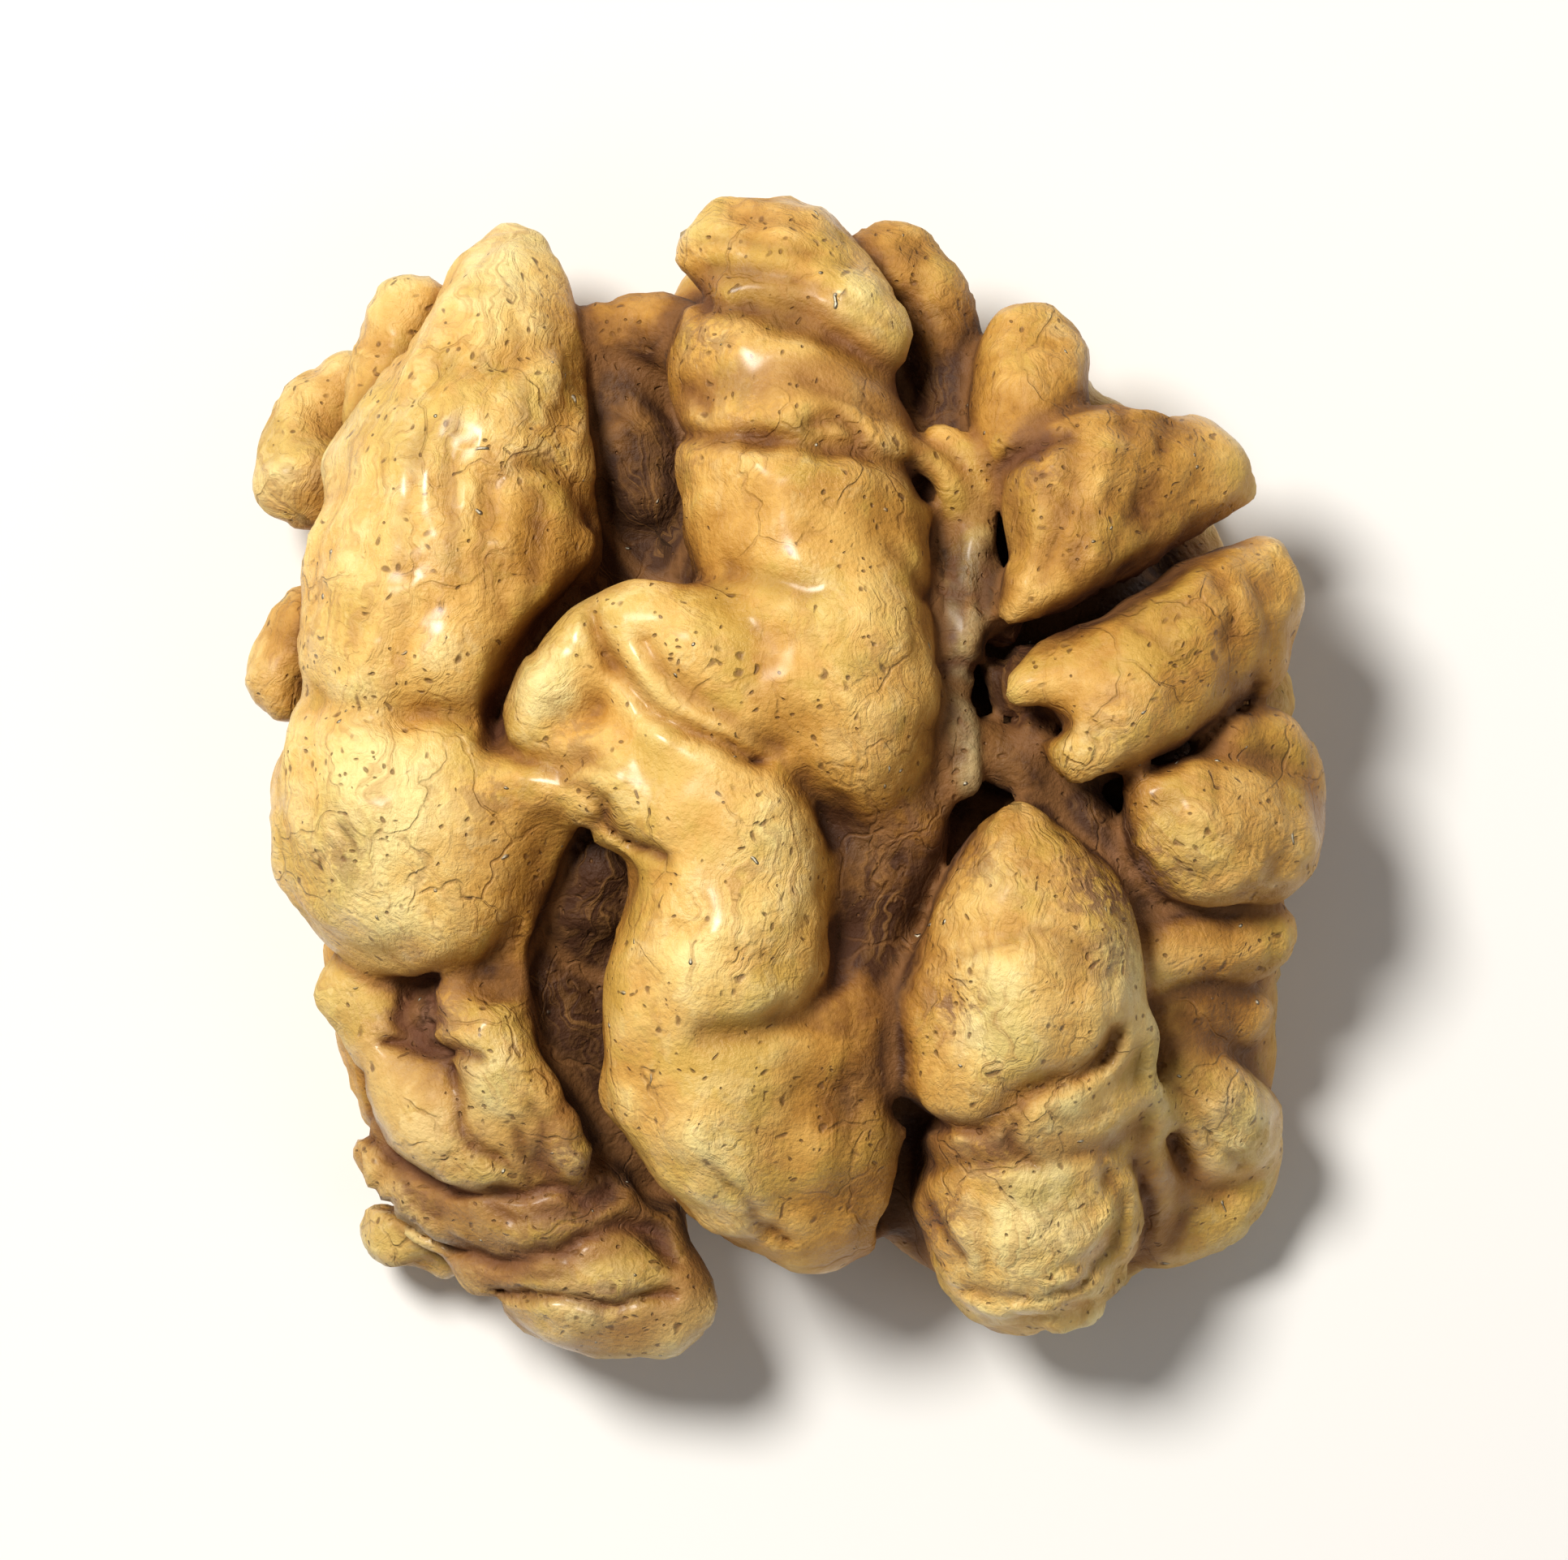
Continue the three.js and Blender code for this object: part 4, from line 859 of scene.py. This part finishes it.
# How far a point lies below the dome of crests, so that low parts get painted shade
drop = np.clip((dome_height(x, y) - z) / DEEPEST_DROP, 0, 1)
drop *= np.clip((z - LOWEST_DAB) / DROP_FADE, 0, 1)
# How much each measure adds to the painted shade; the negative ones lighten the skin
WEIGHTS = [(1.15, valley), (0.75, crease), (0.40, drop), (-0.26, paleness_and_painted_light), (-1.0, push)]
# Painted shade, with a little of the skin's own tone, and painted highlights on wrinkle crests
hidden = EVEN_DARKNESS + sum(weight * measure for weight, measure in WEIGHTS)
print("darkness at 5, 50 and 95 percent:", np.percentile(hidden, [5, 50, 95]).round(2))

# %% [markdown]
# ## The mesh and what is painted on it
# The grid's mesh becomes a Blender object. The measured numbers go with it as attributes, so that
# the material can read them at each point, and no image has to be wrapped round the folds.

# %% Make the kernel's mesh
mesh = bpy.data.meshes.new("walnut_half")
mesh.from_pydata(skin_points * MM, [], skin_faces.tolist())
mesh.shade_smooth()

# One number or three for each point of the mesh
PAINTED = {
    "hidden": hidden, "seam": seam, "own_fold": own_fold, "drawn": drawn, "fold_place": fold_place,
    "greyness": greyness, "across_depth": across_depth, "bruised": bruised,
}
for name, values in PAINTED.items():
    kind, key = ("FLOAT", "value") if values.ndim == 1 else ("FLOAT_VECTOR", "vector")
    layer = mesh.attributes.new(name, kind, "POINT")
    layer.data.foreach_set(key, values.astype(np.float32).ravel())
kernel = bpy.data.objects.new("walnut_half", mesh)
bpy.context.scene.collection.objects.link(kernel)
print("the mesh has", len(mesh.polygons), "faces")

# %% [markdown]
# ## Sums on sockets
# A material is a net of nodes, and even a short sum takes several. This class wraps an output
# socket, so that the sum can be written as one, and Python adds the Math nodes behind it.

# %% Helpers for node sums
class Amount:
    """A number that varies over the surface."""

    def __init__(self, bench, socket):
        self.bench = bench
        self.socket = socket

    def math(self, operation, *values):
        node = self.bench.add("ShaderNodeMath", {"operation": operation}, dict(enumerate(values)))
        return Amount(self.bench, node.outputs[0])

    def __add__(self, other):
        return self.math("ADD", self, other)

    def __sub__(self, other):
        return self.math("SUBTRACT", self, other)

    def __rsub__(self, other):
        return self.math("SUBTRACT", other, self)

    def __mul__(self, other):
        return self.math("MULTIPLY", self, other)

    __radd__ = __add__
    __rmul__ = __mul__

    def between(self, low, high):
        """0 below low, 1 above high, smooth between them; it falls if low is above high."""
        rises = low < high
        node = self.bench.add("ShaderNodeMapRange", {"interpolation_type": "SMOOTHSTEP"}, {
            "Value": self, "From Min": min(low, high), "From Max": max(low, high),
            "To Min": 0.0 if rises else 1.0, "To Max": 1.0 if rises else 0.0,
        })
        return Amount(self.bench, node.outputs[0])


class Bench:
    """The node net of one material."""

    def __init__(self, name):
        self.material = bpy.data.materials.new(name)
        self.material.use_nodes = True
        self.tree = self.material.node_tree
        self.tree.nodes.clear()

    def add(self, kind, settings=None, sockets=None):
        """Adds a node, sets its settings first, then fills or links its input sockets."""
        node = self.tree.nodes.new(kind)
        for key, value in (settings or {}).items():
            if key == "stops":
                fill_ramp(node.color_ramp, value)
            else:
                setattr(node, key, value)
        for key, value in (sockets or {}).items():
            if isinstance(value, Amount):
                value = value.socket
            if isinstance(value, bpy.types.NodeSocket):
                self.tree.links.new(value, node.inputs[key])
            else:
                node.inputs[key].default_value = value
        return node

    def amount(self, name):
        """A number painted on the mesh."""
        node = self.add("ShaderNodeAttribute", {"attribute_name": name})
        return Amount(self, node.outputs["Fac"])

    def mix(self, share, one, other):
        """Colour one where share is 0, the other colour where it is 1."""
        sockets = {0: share, 6: one, 7: other}
        return self.add("ShaderNodeMix", {"data_type": "RGBA"}, sockets).outputs[2]

    def stretched(self, vector, stretch):
        sockets = {0: vector, 1: stretch}
        return self.add("ShaderNodeVectorMath", {"operation": "MULTIPLY"}, sockets).outputs[0]

    def shifted(self, vector, shift, reach):
        """The vector, moved by another one times its reach along each axis."""
        sockets = {0: shift, 1: reach, 2: vector}
        return self.add("ShaderNodeVectorMath", {"operation": "MULTIPLY_ADD"}, sockets).outputs[0]

    def noise(self, vector, scale, detail=2.0, roughness=0.5):
        sockets = {"Vector": vector, "Scale": scale, "Detail": detail, "Roughness": roughness}
        return Amount(self, self.add("ShaderNodeTexNoise", {}, sockets).outputs["Fac"])

    def cells(self, vector, scale, feature="F1"):
        """Distance to the nearest of many scattered points, and a random colour for each."""
        sockets = {"Vector": vector, "Scale": scale}
        node = self.add("ShaderNodeTexVoronoi", {"feature": feature}, sockets)
        return Amount(self, node.outputs["Distance"]), node.outputs.get("Color")


def fill_ramp(ramp, stops):
    while len(ramp.elements) < len(stops):
        ramp.elements.new(1.0)
    for element, (place, colour) in zip(ramp.elements, stops):
        element.position = place
        element.color = (*colour, 1.0)


# %% [markdown]
# ## The skin's colour
# The skin is thin and tan over pale flesh. Rubbed crests are nearly cream, sides are golden, and
# the tan turns orange-brown and then dark towards the bottom of a valley; the rubbing is the skin's
# own, the rest mostly painted light and shade. One ramp does this, read by the number of tone and
# painted shade. Noises of three sizes keep its steps from being even, and on greyed folds, such as
# the heel, a grey-olive skin covers most of it, which also turns dark with the painted shade.

# %% What the material can read
skin = Bench("walnut_skin")
coordinates = skin.add("ShaderNodeTexCoord").outputs["Object"]
in_millimetres = skin.stretched(coordinates, (1 / MM,) * 3)
place_on_fold = skin.add("ShaderNodeAttribute", {"attribute_name": "fold_place"}).outputs["Vector"]

tone_and_shade_amount = skin.amount("hidden")
seam_shade_amount = skin.amount("seam")
grey_amount = skin.amount("greyness")
across_amount = skin.amount("across_depth")
own_fold_amount = skin.amount("own_fold")
crease_shade_amount = skin.amount("drawn")
bruised_amount = skin.amount("bruised")

# %% Tan and greyed skin, darkened by painted shade
# Ramp from lit, rubbed crests to painted shade deep in a valley
SKIN_AND_SHADE_STOPS = [
    (0.00, (0.86, 0.67, 0.27)),
    (0.20, (0.78, 0.51, 0.155)),
    (0.40, (0.66, 0.37, 0.085)),
    (0.60, (0.47, 0.225, 0.036)),
    (0.80, (0.23, 0.092, 0.013)),
    (1.00, (0.055, 0.017, 0.003)),
]
GREYED_SKIN = (0.34, 0.27, 0.145, 1)
# The greyed skin's colour where it lies in painted shade
GREYED_VALLEY_SHADE = (0.055, 0.028, 0.012, 1)
MOST_GREY = 0.85

slow = skin.noise(in_millimetres, 0.22, 3.0, 0.55)
middling = skin.noise(in_millimetres, 0.9, 3.0, 0.6)
fine = skin.noise(in_millimetres, 2.4, 3.0, 0.6)
# The ramp's place: tone and painted shade, a little more painted shade in the seams, and noise
darkness = (
    tone_and_shade_amount + seam_shade_amount * 0.10
    + (slow - 0.5) * 0.50 + (middling - 0.5) * 0.36 + (fine - 0.5) * 0.24
)
shaded_tan = skin.add("ShaderNodeValToRGB", {"stops": SKIN_AND_SHADE_STOPS}, {"Fac": darkness}).outputs["Color"]
# Greyed skin, darkened by the same painted shade
greyed_and_shaded = skin.mix(darkness.between(0.2, 0.9), GREYED_SKIN, GREYED_VALLEY_SHADE)
shaded_tan = skin.mix(grey_amount.math("MINIMUM", grey_amount * 0.75, MOST_GREY), shaded_tan, greyed_and_shaded)

# %% [markdown]
# ## Streaks, veins and specks
# Brown streaks, fine and wide, follow each fold. Veins branch across the skin. Everywhere there are
# dark specks, most no more than a fifth of a millimetre across, with short dashes among them. Cells
# of a Voronoi pattern scatter them, and each cell's random colour decides whether it has a speck.
# All of them are made as amounts first, so that the colour and the relief can share them.

# %% Streaks and veins
wander = skin.add(
    "ShaderNodeTexNoise", {}, {"Vector": in_millimetres, "Scale": 0.8, "Detail": 2.0}
).outputs["Color"]
wandering = skin.shifted(in_millimetres, wander, (1.6, 1.6, 1.6))
warped_place = skin.shifted(place_on_fold, wander, (1.5, 2.2, 0.0))


def grain_noise(waves, detail, roughness):
    """Noise measured along and round the folds, with its waves per millimetre each way."""
    return skin.noise(skin.stretched(warped_place, waves), 1.0, detail, roughness)


streak_noise = grain_noise((0.45, 3.0, 1.0), 3.0, 0.65)
streaks = streak_noise.between(0.50, 0.68) * own_fold_amount
wide_streaks = grain_noise((0.22, 1.3, 1.0), 4.0, 0.65).between(0.50, 0.62) * own_fold_amount
cross_noise = grain_noise((2.3, 0.8, 1.0), 3.0, 0.6)
cross_lines = cross_noise.between(0.58, 0.74) * across_amount.between(0.08, 0.28)
cross_lines = cross_lines * own_fold_amount

vein_gap, _ = skin.cells(wandering, 0.33, "DISTANCE_TO_EDGE")
veins = vein_gap.between(0.030, 0.006) * slow.between(0.40, 0.62)

# %% Specks
FEWEST_SPECKS = 0.08
SPECK_CORE = 0.3
crowding = skin.noise(in_millimetres, 0.30, 2.0).between(0.36, 0.66)
crowding = crowding + grey_amount * 0.4 + bruised_amount * 0.8


def specks(vector, scale, size, share):
    """Small round marks: size is their radius in cells, and share how many cells have one."""
    distance, colour = skin.cells(vector, scale)
    luck = Amount(skin, skin.add("ShaderNodeSeparateColor", {}, {"Color": colour}).outputs[0])
    chosen = (crowding * share + FEWEST_SPECKS - luck).between(0.0, 0.02)
    return distance.between(size, size * SPECK_CORE) * chosen


dashes = specks(skin.stretched(place_on_fold, (1.4, 2.4, 1.0)), 1.0, 0.22, 0.28) * own_fold_amount
speck_amount = dashes.math("MAXIMUM", dashes, specks(wandering, 1.3, 0.21, 0.55))
speck_amount = dashes.math("MAXIMUM", speck_amount, specks(wandering, 2.6, 0.24, 0.60))
crumbs = specks(wandering, 1.7, 0.16, 0.03)

# %% [markdown]
# ## One colour over the other
# The marks go on like washes of paint, from the broadest to the finest: mustard patches and rubbed
# cream first, then streaks and bruises, then painted shade in the seams, the veins, painted shade
# along the creases, and the specks last. Each wash is a Mix node whose share says how much of it
# shows, so any of them is easy to weaken.

# %% Washes of colour
STREAK_BROWN = (0.42, 0.20, 0.05, 1)
# Brown of the veins, also used for the painted shade in the seams
VEIN_AND_SEAM_SHADE_BROWN = (0.30, 0.13, 0.035, 1)
SPECK_BROWN = (0.17, 0.072, 0.020, 1)
# Painted shade deep in a crease
CREASE_SHADE_BROWN = (0.12, 0.040, 0.014, 1)
CRUMB_CREAM = (0.86, 0.78, 0.58, 1)
RUBBED_CREAM = (0.90, 0.70, 0.33, 1)
MUSTARD = (0.52, 0.36, 0.06, 1)
BRUISE = (0.20, 0.095, 0.050, 1)

exposed = tone_and_shade_amount.between(0.65, 0.15)
mustard_patches = skin.noise(in_millimetres, 0.34, 4.0, 0.65).between(0.50, 0.62)
rubbed_patches = skin.noise(wandering, 0.75, 4.0, 0.7).between(0.53, 0.64) * exposed
flakes = grain_noise((0.9, 2.6, 1.0), 4.0, 0.7).between(0.54, 0.64) * exposed * own_fold_amount
bruise_pattern = skin.noise(wandering, 1.8, 4.0, 0.7).between(0.42, 0.56)

colour = shaded_tan
for share, wash in (
    (mustard_patches * tone_and_shade_amount.between(0.9, 0.4) * 0.42, MUSTARD),
    (rubbed_patches * 0.36, RUBBED_CREAM),
    (flakes * 0.22, RUBBED_CREAM),
    (wide_streaks * 0.30, STREAK_BROWN),
    (streaks * 0.45, STREAK_BROWN),
    (bruised_amount * bruise_pattern * 0.8, BRUISE),
    (cross_lines * 0.5, STREAK_BROWN),
    # Painted shade in the seams between folds
    (seam_shade_amount.between(0.35, 1.0) * 0.5, VEIN_AND_SEAM_SHADE_BROWN),
    (veins * 0.28, VEIN_AND_SEAM_SHADE_BROWN),
    # Painted shade along the drawn creases
    (crease_shade_amount, CREASE_SHADE_BROWN),
    (speck_amount * 0.75, SPECK_BROWN),
    (crumbs * 0.9, CRUMB_CREAM),
):
    colour = skin.mix(share, colour, wash)
print("the net for the colour has", len(skin.tree.nodes), "nodes")

# %% [markdown]
# ## Relief and shine
# Finer wrinkles than the mesh can hold go into a bump. The skin is satin, and the nut's own oil
# makes it glossier in places, so a thin coat comes and goes with a noise. The skin is dry and the
# flesh under it dense, so no light needs to pass into it.

# %% Finish the skin
BUMP_DEPTH = 0.22
grain = skin.noise(in_millimetres, 5.5, 4.0, 0.6)
fine_cross = grain_noise((4.0, 1.4, 1.0), 3.0, 0.6)
wrinkled = skin.noise(in_millimetres, 0.35, 2.0).between(0.40, 0.62)
on_fold = (
    (streak_noise - 0.5) * 0.6 + (cross_noise - 0.5) * (across_amount * 3.0 + 0.05)
    + (fine_cross - 0.5) * wrinkled * 0.25
)
relief = (
    on_fold * own_fold_amount + (grain - 0.5) * 0.35
    - speck_amount * 0.25 - veins * 0.2 + crumbs
)
bump = skin.add(
    "ShaderNodeBump", {}, {"Strength": 1.0, "Distance": BUMP_DEPTH * MM, "Height": relief}
)
oiled = skin.noise(in_millimetres, 0.55, 2.0).between(0.42, 0.66)
roughness = (
    tone_and_shade_amount.between(0.4, 1.0) * 0.2 + 0.56 - oiled * 0.16 + (grain - 0.5) * 0.2
)
finish = skin.add("ShaderNodeBsdfPrincipled", {}, {
    "Base Color": colour,
    "Roughness": roughness,
    "Coat Weight": oiled * tone_and_shade_amount.between(0.75, 0.25) * 0.5,
    "Coat Roughness": 0.22,
    "Specular IOR Level": 0.32,
    "Normal": bump.outputs["Normal"],
})
skin.add("ShaderNodeOutputMaterial", {}, {"Surface": finish.outputs[0]})
mesh.materials.append(skin.material)
print("the skin's net has", len(skin.tree.nodes), "nodes")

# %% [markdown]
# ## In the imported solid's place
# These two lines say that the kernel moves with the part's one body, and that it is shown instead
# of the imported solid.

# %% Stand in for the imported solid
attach(kernel, "root")
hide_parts("walnut_kernel")

# %% [markdown]
# ## A plain studio
# The kernel lies on a pale floor, seen from straight above as nuts in a bowl are. A long lens from
# a hand's length away keeps its outline true. One large soft lamp stands up and to the left, so
# that each fold shades the valley on its right, and a weaker one opens those shadows.

# %% Floor
FLOOR_SIZE = 0.9
PALE_PAPER = (0.80, 0.79, 0.77, 1)

bpy.ops.mesh.primitive_plane_add(size=FLOOR_SIZE)
floor = bpy.context.object
floor.name = "floor"
floor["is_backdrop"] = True
paper = Bench("pale_paper")
paper_finish = paper.add(
    "ShaderNodeBsdfPrincipled", {}, {"Base Color": PALE_PAPER, "Roughness": 0.9}
)
paper.add("ShaderNodeOutputMaterial", {}, {"Surface": paper_finish.outputs[0]})
floor.data.materials.append(paper.material)


# %% Lamps
def soft_lamp(name, place, size, power, colour):
    lamp = bpy.data.lights.new(name, "AREA")
    lamp.shape = "DISK"
    lamp.size = size
    lamp.energy = power
    lamp.color = colour
    holder = bpy.data.objects.new(name, lamp)
    holder.location = place
    holder.rotation_euler = (-Vector(place)).to_track_quat("-Z", "Y").to_euler()
    bpy.context.scene.collection.objects.link(holder)


soft_lamp("key_lamp", (-0.15, 0.14, 0.34), size=0.12, power=2.05, colour=(1.0, 0.97, 0.92))
soft_lamp("fill_lamp", (0.25, -0.16, 0.30), size=0.35, power=0.25, colour=(1.0, 0.98, 0.96))

world = bpy.data.worlds.new("soft_sky")
bpy.context.scene.world = world
world.use_nodes = True
sky = world.node_tree.nodes["Background"]
sky.inputs["Color"].default_value = (1.0, 0.985, 0.96, 1)
sky.inputs["Strength"].default_value = 0.16

# %% Camera
CAMERA_HEIGHT = 0.30
FRAME_SHARE = 0.74  # how much of the frame the kernel's length fills
SHARP_LEVEL = 0.6  # where that length is measured, as a share of the kernel's height
SENSOR = 36.0

low, high = cad_box
view_width = (high - low).y / FRAME_SHARE
camera_data = bpy.data.cameras.new("camera")
camera_data.sensor_width = SENSOR
camera_data.lens = SENSOR * (CAMERA_HEIGHT - high.z * SHARP_LEVEL) / view_width
camera = bpy.data.objects.new("camera", camera_data)
camera.location = (0, 0, CAMERA_HEIGHT)
bpy.context.scene.collection.objects.link(camera)
bpy.context.scene.camera = camera
bpy.context.scene.view_settings.view_transform = "Standard"
print("the frame is", round(view_width / MM, 1), "mm wide")

# %% [markdown]
# ## The size
# The finished kernel has to fill the same box as the imported model, so its size is printed here,
# as the imported model's was at the start.

# %% Print the finished size
visual_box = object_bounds()
finished_size = visual_box[1] - visual_box[0]
print("the finished kernel measures", [round(side / MM, 1) for side in finished_size], "mm")
